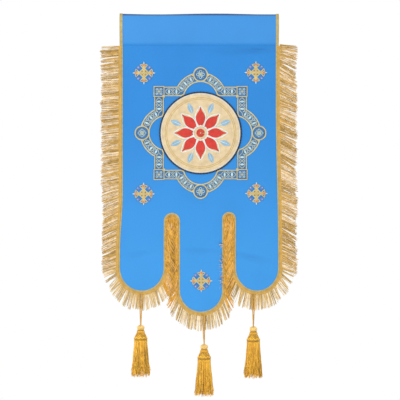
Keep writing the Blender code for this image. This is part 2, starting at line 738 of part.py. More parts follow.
def hanger_route(row, leg):
    """Points of one leg of a tassel's hanging cord, from the fringe heading to the head."""
    y = HANGER_Y + drape(row.x, row.leg_top)
    if leg == "a":
        top = Vector((row.leg_a_x, y, row.leg_top))
        foot = Vector((row.x - HANGER_FOOT_SPREAD, y, row.top + LAYER_GAP))
    else:
        top = Vector((row.leg_b_x, y, row.leg_top))
        foot = Vector((row.x + HANGER_FOOT_SPREAD, y, row.top + LAYER_GAP))
    route = []
    for step in HANGER_STEPS:
        depth = step.depth_a if leg == "a" else step.depth_b
        route.append(top.lerp(foot, step.share) + Vector((0.0, depth, 0.0)))
    return route


def smooth_route(route, spacing):
    """Read points at an even spacing from a smooth curve through a route."""
    ends = [route[0] * 2 - route[1]] + route + [route[-1] * 2 - route[-2]]
    dense = []
    for index in range(1, len(ends) - 2):
        before, first, second, after = ends[index - 1:index + 3]
        for step in range(HANGER_READ_STEPS):
            u = step / HANGER_READ_STEPS
            bend = (2 * before - 5 * first + 4 * second - after) * u * u
            twist = (3 * first - before - 3 * second + after) * u * u * u
            dense.append((2 * first + (second - before) * u + bend + twist) / 2)
    dense.append(route[-1])
    travelled = [0.0]
    for first, second in zip(dense, dense[1:]):
        travelled.append(travelled[-1] + (second - first).length)
    count = max(2, round(travelled[-1] / spacing))
    points = []
    cursor = 0
    for step in range(count + 1):
        target = travelled[-1] * step / count
        while cursor < len(dense) - 2 and travelled[cursor + 1] < target:
            cursor += 1
        share = (target - travelled[cursor]) / (travelled[cursor + 1] - travelled[cursor])
        points.append(dense[cursor].lerp(dense[cursor + 1], share))
    return points


def add_hanger(holder, row, leg):
    """One leg of the doubled cord that carries a tassel."""
    name = "hanger_" + row.name + "_" + leg
    points = smooth_route(hanger_route(row, leg), HANGER_POINT_PITCH)
    curve = bpy.data.curves.new(name, "CURVE")
    curve.dimensions = "3D"
    curve.bevel_depth = HANGER_DIAMETER / 2
    curve.bevel_resolution = 2
    curve.use_fill_caps = True
    spline = curve.splines.new("POLY")
    spline.points.add(len(points) - 1)
    for spline_point, place in zip(spline.points, points):
        spline_point.co = (*place, 1.0)
    obj = bpy.data.objects.new(name, curve)
    bpy.context.scene.collection.objects.link(obj)
    obj.parent = holder
    shade_piece(obj, DEEP_GOLD, 0.6, 0.2)


def main():
    """Build every piece of the banner."""
    for obj in list(bpy.data.objects):
        bpy.data.objects.remove(obj)
    holder = bpy.data.objects.new("church_banner", None)
    bpy.context.scene.collection.objects.link(holder)
    stretches = cloth_edge()
    add_cloth(holder, stretches)
    add_sleeve(holder)
    add_edge_binding(holder, stretches)
    for side in ("left", "right"):
        add_sleeve_binding(holder, side)
    add_fringe(holder, stretches)
    add_medallion(holder)
    add_medallion_cord(holder)
    add_frame(holder)
    for name, x, z in CROSSES:
        add_cross(holder, name, x, z)
    for row in TASSELS:
        add_tassel(holder, row)
        for leg in ("a", "b"):
            add_hanger(holder, row, leg)


main()
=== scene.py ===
"""Church banner, dressed for a render: cloth, binding, fringe, embroidery, tassels and their hanging cords.

Sizes are in metres. X runs across the banner, Z is up, and the front faces -Y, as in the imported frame.
"""

import math
import random
from collections import namedtuple

import bpy
from mathutils import Matrix, Vector


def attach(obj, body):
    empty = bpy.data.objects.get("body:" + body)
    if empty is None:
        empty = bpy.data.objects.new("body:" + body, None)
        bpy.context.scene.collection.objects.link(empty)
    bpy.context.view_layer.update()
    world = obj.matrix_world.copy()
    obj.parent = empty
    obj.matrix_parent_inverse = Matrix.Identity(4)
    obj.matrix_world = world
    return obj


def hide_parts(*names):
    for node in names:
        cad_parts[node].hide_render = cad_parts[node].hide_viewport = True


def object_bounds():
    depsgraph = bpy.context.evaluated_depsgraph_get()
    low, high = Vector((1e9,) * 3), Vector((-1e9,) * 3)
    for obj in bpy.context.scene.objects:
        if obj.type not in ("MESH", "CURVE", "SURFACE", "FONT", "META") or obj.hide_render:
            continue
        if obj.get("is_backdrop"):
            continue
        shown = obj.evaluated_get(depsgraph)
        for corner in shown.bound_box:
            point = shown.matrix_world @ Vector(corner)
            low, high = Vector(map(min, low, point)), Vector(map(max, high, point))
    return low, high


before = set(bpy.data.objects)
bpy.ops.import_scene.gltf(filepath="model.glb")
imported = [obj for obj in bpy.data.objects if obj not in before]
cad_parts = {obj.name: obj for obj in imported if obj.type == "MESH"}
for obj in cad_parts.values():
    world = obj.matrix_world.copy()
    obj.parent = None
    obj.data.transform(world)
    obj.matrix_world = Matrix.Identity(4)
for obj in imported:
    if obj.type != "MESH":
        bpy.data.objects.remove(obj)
CAD_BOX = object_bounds()

bl_info = {
    "name": "Church Banner",
    "version": (1, 0, 0),
    "blender": (4, 5, 0),
    "location": "View3D > Sidebar > Banner",
    "description": "Builds a fringed church banner with its embroidery, tassels and cords",
    "category": "Object",
}

# View, lights and floor. The camera looks straight at the front, and its view is VIEW_WIDTH wide at the banner.
# Lights: name, place, energy and size
CAMERA_DISTANCE = 4.5
VIEW_MIDDLE = (0.0025, -0.615)
VIEW_WIDTH = 1.32
SENSOR_WIDTH = 36.0
LIGHTS = (("key light", (-1.7, -3.0, 0.1), 52.0, 1.2), ("fill light", (2.0, -2.6, 0.2), 14.0, 1.8))
LIGHT_AIM = (0.0, 0.0, -0.5)
FLOOR_RADIUS = 3.0
FLOOR_HEIGHT = -1.8

# Cloth and the soft shape in which it hangs. Turns are in radians for each metre
CLOTH_HALF_WIDTH = 0.262
CLOTH_THICKNESS = 0.0020
CLOTH_FRONT = -CLOTH_THICKNESS / 2
LAYER_GAP = 0.0003
SLOT_TOP = {"left": -0.667, "right": -0.664}
EDGE_WAVE_FROM = 0.170
EDGE_WAVE_DEPTH = 0.0014
EDGE_WAVE_TURN = 9.0
EDGE_WAVE_START = {"left": 0.8, "right": 2.3}
EDGE_WAVE_FADE = 0.060
CURL_FROM = -0.640
CURL_TO = -0.992
CURL_DEPTH = 0.010
CURL_SWING = 0.002
CURL_SWING_TURN = 11.0
CURL_SWING_START = 0.6
TONGUE_WAVE_DEPTH = 0.0012
TONGUE_WAVE_TURN = (14.0, -8.0)
CUT_PITCH = 0.012

# Sideways swing of the two side tongues: distance from the middle where it starts, height where it starts and
# where it is full, and the shift of the outer edge
Splay = namedtuple("Splay", "x_from z_from z_to shift")
SPLAYS = {
    "left": Splay(0.0800, -0.600, -0.780, -0.0088),
    "right": Splay(0.1115, -0.300, -0.760, 0.0075),
}
POCKET_CUT_PITCH = 0.005

# Pole pocket
POCKET_HEIGHT = 0.106
POCKET_WALL = 0.0018
POCKET_HALF_GAP = 0.0130
POCKET_SEAM_HALF_DEPTH = 0.0019
POCKET_WAVE = 0.0010
POCKET_WAVE_LENGTH = 0.37
POCKET_WAVE_START = 0.7
POCKET_GAP_SWING = 0.06
POCKET_STEPS = 24
POCKET_TAIL = 0.006

# Binding. Its section and that of the fringe's heading are (outwards, forwards) from the cloth's edge, in mm
BINDING_LEG = 0.0095
BINDING_THICKNESS = 0.0008
BINDING_PROFILE_MM = (
    (-9.5, 2.1), (-6.0, 2.2), (-2.0, 2.15), (0.3, 1.9), (1.0, 1.0), (1.15, 0.0), (1.0, -1.0), (0.3, -1.9),
    (-2.0, -2.15), (-6.0, -2.2), (-9.5, -2.1), (-9.5, -1.35), (0.0, -1.35), (0.3, 0.0), (0.0, 1.35),
    (-9.5, 1.35),
)
HEADING_PROFILE_MM = (
    (5.0, 2.5), (5.0, 3.4), (4.3, 3.9), (3.2, 4.0), (2.4, 3.6), (1.0, 3.5), (-1.0, 3.5), (-2.4, 3.6),
    (-3.2, 4.0), (-4.3, 3.9), (-5.0, 3.4), (-5.0, 2.5),
)

# Waves that vary the fringe: share, turn in radians from lock to lock, and start
SWING_WAVES = ((0.62, 0.31, 0.0), (0.38, 1.05, 1.0))
LENGTH_WAVES = ((0.035, 1.90, 0.0), (0.020, 0.43, 0.0))
FRONT_LAYER = -0.00205
BACK_LAYER = 0.00185

# Ornament on the panel
ORNAMENT_CENTRE = (0.0043, -0.3940)
MEDALLION_RADIUS = 0.1317
MEDALLION_THICKNESS = 0.002
RIM_CORD_RADIUS = 0.134
RIM_CORD_DIAMETER = 0.004
FRAME_BAND = 0.032
FRAME_HALF_SIDE = 0.137
FRAME_CORNER = 0.037
LOBE_OFFSET = 0.113
LOBE_RADIUS = 0.071
ROUNDEL_OFFSET = 0.193
ROUNDEL_RADIUS = 0.0245
FRAME_CLEARANCE = 0.0004
PATCH_THICKNESS = 0.0008

# Navy cord round the medallion: two plies laid round each other
RIM_PLY = 0.0027
RIM_PLY_OFFSET = 0.00085
RIM_CORD_SHIFT = 0.0004
RIM_CORD_TURNS = 40
RIM_CORD_STEPS = 480

# Hanging cords: two plies, the length of one whole turn of them, and the spacing of the points. In the core the
# longer leg goes on inside its tassel: depth below the top of the head, and distance behind its middle
HANGER_PLY = 0.0026
HANGER_PLY_OFFSET = 0.0007
HANGER_LAY = 0.0085
HANGER_SPACING = 0.0015
HANGER_Y = -0.0062
HANGER_FOOT_SPREAD = 0.0003
HANGER_CORE = ((0.012, -0.0020), (0.040, -0.0010), (0.070, 0.0), (0.100, 0.0))

EdgePoint = namedtuple("EdgePoint", "x z nx nz")
Stretch = namedtuple("Stretch", "name point length curved")
Tongue = namedtuple("Tongue", "name left right round_from round_depth")
TONGUES = (
    Tongue("left", -CLOTH_HALF_WIDTH, -0.1068, -0.839, 0.084),
    Tongue("middle", -0.0730, 0.0849, -0.913, 0.079),
    Tongue("right", 0.1115, CLOTH_HALF_WIDTH, -0.839, 0.084),
)

# Fringe along each stretch of the edge: locks, bare sections before and after, length of a lock, how much
# longer the middle locks are, droop in degrees at both ends (0 is square to the edge, 90 straight down),
# depth beside the heading at both ends, and the largest swing in degrees
FringeRow = namedtuple(
    "FringeRow", "locks bare_before bare_after length longer droop_a droop_b layer_a layer_b swing")
FRINGE_ROWS = {
    "left_side": FringeRow(57, 0, 0, 0.0585, 0.0, 4, 22, 0, 0, 4.0),
    "left_bottom": FringeRow(20, 0, 0, 0.0515, 0.0, 16, 62, 0, FRONT_LAYER, 1.6),
    "left_slot_left": FringeRow(8, 0, 2, 0.0450, 0.0, 65, 68, FRONT_LAYER, FRONT_LAYER, 1.0),
    "left_slot_top": FringeRow(4, 1, 1, 0.0270, 0.9, 90, 90, 0, 0, 0.0),
    "left_slot_right": FringeRow(12, 2, 0, 0.0450, 0.0, 68, 60, BACK_LAYER, BACK_LAYER, 1.0),
    "middle_bottom": FringeRow(20, 0, 0, 0.0515, 0.0, 60, 60, BACK_LAYER, BACK_LAYER, 1.6),
    "right_slot_left": FringeRow(12, 0, 2, 0.0440, 0.0, 62, 72, BACK_LAYER, BACK_LAYER, 1.0),
    "right_slot_top": FringeRow(4, 1, 1, 0.0260, 0.9, 90, 90, 0, 0, 0.0),
    "right_slot_right": FringeRow(8, 2, 0, 0.0440, 0.0, 72, 66, FRONT_LAYER, FRONT_LAYER, 1.0),
    "right_bottom": FringeRow(20, 0, 0, 0.0515, 0.0, 62, 28, FRONT_LAYER, 0, 1.6),
    "right_side": FringeRow(57, 0, 0, 0.0612, 0.0, 27, 24, 0, 0, 6.0),
}

# Soft dents: middle, half length, half width, rise for each metre across, and depth towards the back
Crease = namedtuple("Crease", "x z length width slope depth")
CREASES = (
    Crease(0.1950, -0.1200, 0.045, 0.0075, 0.05, 0.0048),
    Crease(0.1100, -0.1220, 0.070, 0.0090, 0.00, 0.0026),
    Crease(0.0060, -0.7850, 0.045, 0.0070, -0.06, 0.0026),
    Crease(0.1700, -0.8060, 0.050, 0.0080, -0.22, 0.0036),
    Crease(-0.1900, -0.7950, 0.050, 0.0090, 0.10, 0.0018),
)

# Bunches of strands: least and greatest width, how far the tips draw together, the spread in degrees of the
# bunches and of the strands in them, and the number of layers
Bunching = namedtuple("Bunching", "narrow wide least_gather most_gather spread scatter layers")
BUNCHES = {
    "left_side": Bunching(0.003, 0.009, 0.00, 0.30, 2.2, 1.8, 2),
    "right_side": Bunching(0.003, 0.010, 0.10, 0.45, 3.8, 2.4, 2),
    "bottom": Bunching(0.003, 0.009, 0.25, 0.75, 6.0, 2.2, 1),
    "slot": Bunching(0.002, 0.006, 0.00, 0.30, 6.0, 5.0, 2),
}
# Depth of the two layers of strands against each other
STRAND_LAYERS = (0.0006, -0.0004)

# Threads of the fringe: share of warm white in the pale one, and brightness of the deep one. These pale and
# deep copies of one tone vary the fringe at random, bunch by bunch, and stand in for light on the bunches and
# shade between them: painted light and shade.
FRINGE_TONES = {"side": (0.48, 0.72), "bottom": (0.55, 0.66), "slot": (0.14, 0.56), "hair": (0.50, 0.20)}

# Pieces of the fringe: kind of thread, then the stretches of the edge
FRINGE_PIECES = {
    "fringe_left": ("side", "left_side"),
    "fringe_right": ("side", "right_side"),
    "fringe_tongues": ("bottom", "left_bottom", "middle_bottom", "right_bottom"),
    "fringe_slots": ("slot", "left_slot_left", "left_slot_top", "left_slot_right",
                     "right_slot_left", "right_slot_top", "right_slot_right"),
}

# Share of each rounded end at which the slot's tones stop and start again. They are more orange than the rest
# of the fringe, and their deep copy is painted shade among the dense crossing strands.
SLOT_TONE_AND_SHADE = {"left_bottom": (0.0, 0.83), "middle_bottom": (0.09, 0.93), "right_bottom": (0.19, 1.0)}

# Loose hairs beside the right slot: lowest and highest root, and their number
STRAY_HAIRS = ((-0.905, -0.800, 34), (-0.775, -0.755, 9))
HAIR_DIAMETER = 0.0009

# Frame's crossing waves: reach from the middle of the band, half length of an almond, and reach of a curl
WAVE_SWING = 0.0096
ALMOND_REACH = 0.0076
CURL_REACH = 0.0024
ACROSS_ALMOND = (-1.0, -0.75, -0.5, -0.25, 0.0, 0.25, 0.5, 0.75, 1.0)

# Gold touches of the frame: (off, share of the width) in the corner squares, and (x, z, share) at the roundels
CORNER_TOUCH = ((-0.0020, 0.6), (0.0020, 1.0), (0.0050, 0.3))
ROUNDEL_TOUCH = ((0.0256, -0.006, 0.4), (0.0262, -0.002, 1.0), (0.0266, 0.001, 0.5))

# Rosette of the medallion: half width of a petal, and places along a petal or a leaf
PETAL_HALF_WIDTH = 0.0150
PETAL_STEPS = tuple(step / 8 for step in range(9))

# Small crosses: CAD node and centre
CROSSES = (
    ("cross_upper_left", -0.1825, -0.1960),
    ("cross_upper_right", 0.1870, -0.1945),
    ("cross_lower_left", -0.1835, -0.5950),
    ("cross_lower_right", 0.1885, -0.5935),
    ("cross_tongue", 0.0065, -0.8815),
)
# Threads of one cross: word, thread, width, height, copies round its middle, mirrored or not, and lines of
# (x, z, share of the width), all in mm
CrossRow = namedtuple("CrossRow", "word thread width height copies mirror lines")
CROSS_ROWS = (
    CrossRow("petals", "lavender", 9.8, 1.0, 4, False, (
        ((14.2, 14.2, 0.4), (15.8, 15.8, 0.9), (17.8, 17.8, 1.1), (20.0, 20.0, 0.9), (21.8, 21.8, 0.4)),)),
    CrossRow("weave", "gold", 4.4, 0.9, 1, False, tuple(
        ((off - 8.6, off + 8.6), (off + 8.6, off - 8.6)) for off in (-6.6, -3.3, 0.0, 3.3, 6.6))),
    CrossRow("arms", "gold", 5.6, 1.4, 4, False, (
        ((0.0, 13.5, 1.5), (0.0, 17.5, 1.1), (0.0, 21.5, 1.4), (0.0, 25.0, 2.0), (0.0, 28.4, 1.5),
         (0.0, 31.2, 0.8)),)),
    CrossRow("bars", "cream", 3.0, 1.5, 4, True, (
        ((0.0, 28.4, 0.8), (5.0, 27.8, 1.0), (10.0, 26.8, 1.1), (13.8, 25.2, 0.5)),)),
    CrossRow("flares", "cream", 3.2, 1.7, 4, True, (
        ((2.4, 16.0, 1.0), (5.2, 19.0, 1.2), (8.0, 21.8, 1.1), (12.0, 24.0, 0.7)),)),
    CrossRow("lattice", "cream", 2.8, 1.7, 4, False, (((0.0, 17.4), (8.7, 8.7), (17.4, 0.0)),)),
    CrossRow("lace", "cream", 2.6, 1.9, 4, False, (((0.0, 0.0, 1.0), (0.0, 6.0, 0.9), (0.0, 12.5, 0.7)),)),
    CrossRow("tips", "pale", 4.2, 1.4, 4, False, (
        ((0.0, 29.6, 1.0), (0.0, 32.0, 1.0), (0.0, 35.0, 0.7), (0.0, 37.4, 0.3)),)),
    CrossRow("spots", "pale", 3.0, 1.6, 4, False, (
        ((17.6, 17.6, 0.5), (19.0, 19.0, 1.0), (20.4, 20.4, 0.5)),)),
    CrossRow("touches", "rust", 4.8, 2.2, 4, False, (
        ((0.0, 21.2, 0.5), (0.0, 24.0, 1.1), (0.0, 27.2, 1.2), (0.0, 29.8, 0.7)),
        ((-6.2, 26.2, 0.4), (-3.0, 26.8, 0.8), (3.0, 26.8, 0.8), (6.2, 26.2, 0.4)))),
    CrossRow("dots", "brown", 4.0, 1.9, 4, False, (((4.4, 4.4, 0.6), (5.7, 5.7, 1.0), (7.0, 7.0, 0.6)),)),
)
# Tassel head from the top down: depth below the head's top and radius
TASSEL_PROFILE = (
    (0.0000, 0.0046), (0.0012, 0.0071), (0.0035, 0.0096), (0.0065, 0.0110), (0.0095, 0.0113),
    (0.0125, 0.0109), (0.0150, 0.0100), (0.0165, 0.0097), (0.0178, 0.0104), (0.0200, 0.0112),
    (0.0225, 0.0112), (0.0240, 0.0108), (0.0270, 0.0130), (0.0310, 0.0153), (0.0350, 0.0172),
    (0.0390, 0.0188), (0.0425, 0.0203), (0.0455, 0.0210), (0.0485, 0.0208), (0.0500, 0.0202),
)
# Core of a tassel that its skirt hides: depth below the head's top and radius
TASSEL_CORE = ((0.0560, 0.0165), (0.1500, 0.0205), (0.1520, 0.0005))
SKIRT_STRANDS = 340
BALL_THREADS = 15

# Cords wound round the head: depth below its top, distance outside it, and shade. The deep rings, under the
# ball and at the foot of the cone, are painted shade.
HEAD_RINGS = (
    (0.0172, 0.0003, 2), (0.0190, 0.0009, 1), (0.0208, 0.0013, 0), (0.0226, 0.0018, 1), (0.0244, 0.0022, 1),
    (0.0446, 0.0004, 2), (0.0462, 0.0004, 2),
)
# Rows of scallops on the head: how many, depth of their tops, drop, and distance outside it
HEAD_SCALLOPS = ((10, 0.0366, 0.0046, 0.0010), (10, 0.0382, 0.0050, 0.0013), (13, 0.0495, 0.0060, 0.0012))
TasselRow = namedtuple("TasselRow", "name x top leg_a_x leg_b_x leg_top")
TASSELS = (
    TasselRow("left", -0.1925, -1.0265, -0.1967, -0.1874, -0.9235),
    TasselRow("middle", 0.0162, -1.0895, 0.0093, 0.0186, -0.9920),
    TasselRow("right", 0.1782, -1.0315, 0.1737, 0.1830, -0.9235),
)

# Legs of a hanging cord: share of the way from the fringe heading to the head, and the depth of each leg
HangerStep = namedtuple("HangerStep", "share depth_a depth_b")
HANGER_STEPS = (
    HangerStep(0.00, 0.0000, 0.0000),
    HangerStep(0.30, -0.0007, 0.0000),
    HangerStep(0.60, -0.0018, 0.0000),
    HangerStep(0.80, -0.0024, 0.0014),
    HangerStep(1.00, -0.0023, 0.0022),
)


def srgb(red, green, blue):
    """Linear colour of a screen colour given from 0 to 255."""
    return tuple(
        c / 255 / 12.92 if c <= 10 else ((c / 255 + 0.055) / 1.055) ** 2.4
        for c in (red, green, blue)
    )


def colour_property(name, description, colour):
    """A colour that a user can change in the sidebar."""
    return bpy.props.FloatVectorProperty(
        name=name, description=description, subtype="COLOR", size=3, min=0.0, max=1.0, default=colour)


def length_property(name, description, length):
    """A length that a user can change in the sidebar."""
    return bpy.props.FloatProperty(
        name=name, description=description, default=length, min=0.0, unit="LENGTH", precision=4)


class BannerColours(bpy.types.PropertyGroup):
    """Colours of the banner's cloth and threads."""

    cloth: colour_property("Cloth", "Colour of the blue cloth", srgb(24, 117, 188))
    # Painted light: the next two tones are the same blue cloth, drawn lighter on the lower tongues and on the
    # pole pocket, where more light falls.
    cloth_low_lit: colour_property("Cloth low", "Colour of the cloth on the lower tongues", srgb(46, 135, 203))
    pocket: colour_property("Pocket", "Colour of the cloth on the pole pocket", srgb(51, 129, 196))
    # Painted shade: the dark line along the pocket's top fold. The cloth's soft dents are darkened with it too.
    fold: colour_property("Fold", "Darker line along the pocket's top fold", srgb(24, 62, 112))
    binding: colour_property("Binding", "Colour of the binding tape", srgb(171, 154, 100))
    heading: colour_property("Heading", "Colour of the fringe's woven heading", srgb(184, 145, 69))
    fringe_side: colour_property("Side fringe", "Usual thread of the side fringe", srgb(202, 165, 94))
    fringe_bottom: colour_property("Bottom fringe", "Usual thread below the tongues", srgb(215, 185, 124))
    fringe_slot: colour_property("Slot fringe", "Usual thread of the fringe in the slots", srgb(218, 165, 58))
    fringe_hair: colour_property("Loose hairs", "Usual thread of the loose hairs", srgb(196, 170, 150))
    pale_gold: colour_property("Pale gold", "Thread on the heads of the tassels", srgb(240, 204, 124))
    cream: colour_property("Cream thread", "Edges of the ornament", srgb(182, 173, 128))
    white: colour_property("White thread", "Almonds of the frame and the medallion's ring", srgb(174, 198, 198))
    knot: colour_property("Knot thread", "Crossing waves of the ornament", srgb(172, 175, 150))
    ground: colour_property("Ground", "Blue stitching behind the ornament", srgb(48, 97, 142))
    gold: colour_property("Gold thread", "Arms of the crosses", srgb(190, 163, 98))
    rust: colour_property("Rust thread", "Touches near the tips of the crosses", srgb(198, 98, 68))
    brown: colour_property("Brown thread", "Dots in the middle of the crosses", srgb(124, 92, 56))
    lavender: colour_property("Lavender thread", "Spots between the arms", srgb(98, 114, 172))
    navy: colour_property("Navy cord", "Cord round the medallion", srgb(18, 40, 74))
    field: colour_property("Medallion field", "Tan field of the medallion", srgb(198, 177, 140))
    red: colour_property("Red thread", "Petals of the rosette", srgb(192, 48, 36))
    leaf: colour_property("Leaf thread", "Pale blue leaves of the rosette", srgb(132, 168, 190))
    tassel: colour_property("Tassel thread", "Usual thread of the tassels", srgb(225, 170, 58))


class BannerSizes(bpy.types.PropertyGroup):
    """Sizes of the banner's threads and trims."""

    strand: length_property("Fringe strand", "Thickness of one fringe strand", 0.0015)
    strand_pitch: length_property("Strand pitch", "Distance between two strands of one layer", 0.0013)
    skirt_strand: length_property("Skirt strand", "Thickness of one tassel strand", 0.0015)
    edge_thread: length_property("Edge thread", "Width of the ornament's edge lines", 0.0040)
    wave_thread: length_property("Wave thread", "Width of the ornament's waves", 0.0022)
    stitch: length_property("Stitch", "Length of one stitch of the pocket's seam", 0.0032)


# Nodes and materials


def add_node(tree, kind, inputs=None, **settings):
    """Add a node, set it and feed its inputs with values or other nodes' outputs."""
    node = tree.nodes.new(kind)
    for name, value in settings.items():
        setattr(node, name, value)
    for name, value in (inputs or {}).items():
        if isinstance(value, bpy.types.NodeSocket):
            tree.links.new(value, node.inputs[name])
        else:
            node.inputs[name].default_value = value
    return node


def start_material(name, roughness, sheen=0.0, metallic=0.0, specular=0.3):
    """A new material with one Principled shader: (material, node tree, shader, texture coordinates)."""
    material = bpy.data.materials.new(name)
    material.use_nodes = True
    tree = material.node_tree
    shader = tree.nodes["Principled BSDF"]
    shader.inputs["Roughness"].default_value = roughness
    shader.inputs["Metallic"].default_value = metallic
    shader.inputs["Specular IOR Level"].default_value = specular
    shader.inputs["Sheen Weight"].default_value = sheen
    shader.inputs["Sheen Roughness"].default_value = 0.5
    return material, tree, shader, tree.nodes.new("ShaderNodeTexCoord")


def mixed(tree, factor, first, second):
    """Blend two colours or colour outputs by a factor output."""
    inputs = {0: factor, 6: first, 7: second}
    return add_node(tree, "ShaderNodeMix", inputs, data_type="RGBA").outputs[2]


def lighter(colour, factor):
    """A colour made lighter or darker, with its alpha."""
    return (*(min(1.0, channel * factor) for channel in colour), 1.0)


def paler(colour, share):
    """A colour mixed with warm white."""
    return tuple(channel + (white - channel) * share for channel, white in zip(colour, (1.0, 0.93, 0.80)))


def ramp(tree, value, start, end, first=0.0, last=1.0):
    """Value that runs from first to last while another output runs from start to end."""
    return add_node(tree, "ShaderNodeMapRange", {0: value, 1: start, 2: end, 3: first, 4: last}).outputs[0]


def noise(tree, spot, scale, detail):
    """Cloudy values between 0 and 1."""
    inputs = {"Vector": spot, "Scale": scale, "Detail": detail}
    return add_node(tree, "ShaderNodeTexNoise", inputs).outputs["Fac"]


def stripes(tree, direction, **inputs):
    """Even stripes of values between 0 and 1."""
    inputs = {name.capitalize(): value for name, value in inputs.items()}
    return add_node(tree, "ShaderNodeTexWave", inputs, bands_direction=direction).outputs["Fac"]


def product(tree, first, second):
    """Two values multiplied."""
    return add_node(tree, "ShaderNodeMath", {0: first, 1: second}, operation="MULTIPLY").outputs[0]


def link_surface(tree, shader, colour, height, strength, distance):
    """Feed a shader with its colour and with the bumps of a height."""
    tree.links.new(colour, shader.inputs["Base Color"])
    bump = add_node(tree, "ShaderNodeBump", {"Height": height, "Strength": strength, "Distance": distance})
    tree.links.new(bump.outputs[0], shader.inputs["Normal"])


def cloth_material(colour, low, pocket, fold):
    """Blue cloth with a fine weave, painted light that makes it lighter on the pole pocket and down the lower
    tongues, and painted shade in its soft dents and along the pocket's top fold.
    """
    material, tree, shader, place = start_material("blue cloth", 0.62, sheen=0.15)
    spot = place.outputs["Object"]
    across, along = (stripes(tree, way, vector=spot, scale=380.0, distortion=0.6, detail=1.0) for way in "XZ")
    height = add_node(tree, "ShaderNodeSeparateXYZ", {"Vector": spot}).outputs["Z"]
    # Colour of the painted shade along the top fold and over the soft dents.
    painted_shade = lighter(fold, 1.0)
    # Painted light: lighter down the lower tongues, and lighter on the pole pocket above the seam.
    tone = mixed(tree, ramp(tree, height, -0.35, -0.80), lighter(colour, 1.0), lighter(low, 1.0))
    tone = mixed(tree, ramp(tree, height, -0.106, -0.094), tone, lighter(pocket, 1.0))
    cloudy = ramp(tree, noise(tree, spot, 7.0, 3.0), 0.3, 0.7, 0.0, 0.07)
    base = mixed(tree, cloudy, tone, (0.0, 0.0, 0.02, 1.0))
    slub = ramp(tree, noise(tree, spot, 420.0, 2.0), 0.3, 0.7, 0.0, 0.16)
    base = mixed(tree, slub, base, lighter(colour, 1.35))
    # Painted shade: a soft darker spot over each dent, where its shade falls.
    for row in CREASES:
        dent = add_node(tree, "ShaderNodeMapping", {"Vector": spot}, vector_type="TEXTURE")
        dent.inputs["Location"].default_value = (row.x, 0.0, row.z)
        dent.inputs["Rotation"].default_value = (0.0, -math.atan(row.slope), 0.0)
        dent.inputs["Scale"].default_value = (2.0 * row.length, 0.5, 2.2 * row.width)
        soft = add_node(tree, "ShaderNodeTexGradient", {"Vector": dent.outputs[0]}, gradient_type="SPHERICAL")
        base = mixed(tree, product(tree, soft.outputs["Fac"], 30.0 * row.depth), base, painted_shade)
    # Painted shade: a dark line along the crown of the pocket's top fold.
    base = mixed(tree, ramp(tree, height, -0.0080, -0.0050, 0.0, 0.95), base, painted_shade)
    link_surface(tree, shader, base, product(tree, across, along), 0.22, 0.0004)
    return material


def thread_material(name, colour, turns, roughness=0.5, metallic=0.0, slant=0.5, strength=0.5, groove_shade=0.25):
    """Thread or tape whose twist runs round a piece's own UV map, with turns along its length, and painted
    shade in the twist's grooves.
    """
    material, tree, shader, place = start_material(name, roughness, 0.1, metallic)
    spread = add_node(tree, "ShaderNodeMapping", {"Vector": place.outputs["UV"]})
    spread.inputs["Scale"].default_value = (slant, turns, 1.0)
    twist = stripes(tree, "DIAGONAL", vector=spread.outputs[0], scale=1.0, distortion=0.3)
    shade = ramp(tree, noise(tree, place.outputs["Object"], 90.0, 2.0), 0.3, 0.7)
    base = mixed(tree, shade, lighter(colour, 0.86), lighter(colour, 1.14))
    # Painted shade: the twist's grooves are drawn darker.
    base = mixed(tree, ramp(tree, twist, 0.0, 0.5, groove_shade, 0.0), base, lighter(colour, 0.45))
    link_surface(tree, shader, base, twist, strength, 0.0003)
    return material


def satin_material(name, colour, turns, roughness=0.5, metallic=0.0):
    """Embroidery thread laid side by side, with its stitches across the line."""
    return thread_material(name, colour, turns, roughness, metallic, slant=0.02)


def stitched_material(name, colour, roughness=0.6, pitch=700.0, spread=0.10):
    """Close rows of stitching that read the object's own coordinates."""
    material, tree, shader, place = start_material(name, roughness, 0.2)
    turn = add_node(tree, "ShaderNodeMapping", {"Vector": place.outputs["Object"]})
    turn.inputs["Rotation"].default_value = (0.0, 0.6, 0.0)
    rows = stripes(tree, "X", vector=turn.outputs[0], scale=pitch, distortion=1.2)
    shade = ramp(tree, noise(tree, place.outputs["Object"], 60.0, 4.0), 0.3, 0.7)
    base = mixed(tree, shade, lighter(colour, 1.0 - spread), lighter(colour, 1.0 + spread))
    link_surface(tree, shader, base, rows, 0.35, 0.0003)
    return material


# Blender's own tools


def deselect_all():
    """Leave edit mode and clear the selection."""
    if bpy.context.mode != "OBJECT":
        bpy.ops.object.mode_set(mode="OBJECT")
    bpy.ops.object.select_all(action="DESELECT")


def pick(*objects):
    """Select only these objects, with the first one active."""
    deselect_all()
    for obj in objects:
        obj.select_set(True)
    bpy.context.view_layer.objects.active = objects[0]
    return objects[0]


def join_pieces(name, pieces):
    """Join pieces into one named object."""
    pick(*pieces)
    if len(pieces) > 1:
        bpy.ops.object.join()
    joined = bpy.context.object
    joined.name = name
    joined.data.name = name
    return joined


def finish_mesh(obj, smooth_angle=50.0):
    """Merge doubles, turn the faces outwards and shade the piece smooth."""
    pick(obj)
    bpy.ops.object.mode_set(mode="EDIT")
    bpy.ops.mesh.select_all(action="SELECT")
    bpy.ops.mesh.remove_doubles(threshold=0.000001)
    bpy.ops.mesh.normals_make_consistent(inside=False)
    bpy.ops.object.mode_set(mode="OBJECT")
    bpy.ops.object.shade_smooth_by_angle(angle=math.radians(smooth_angle))
    return obj


def apply_modifier(obj, kind, **settings):
    """Add a modifier, set it and apply it."""
    pick(obj)
    bpy.ops.object.modifier_add(type=kind)
    modifier = obj.modifiers[-1]
    for name, value in settings.items():
        setattr(modifier, name, value)
    bpy.ops.object.modifier_apply(modifier=modifier.name)


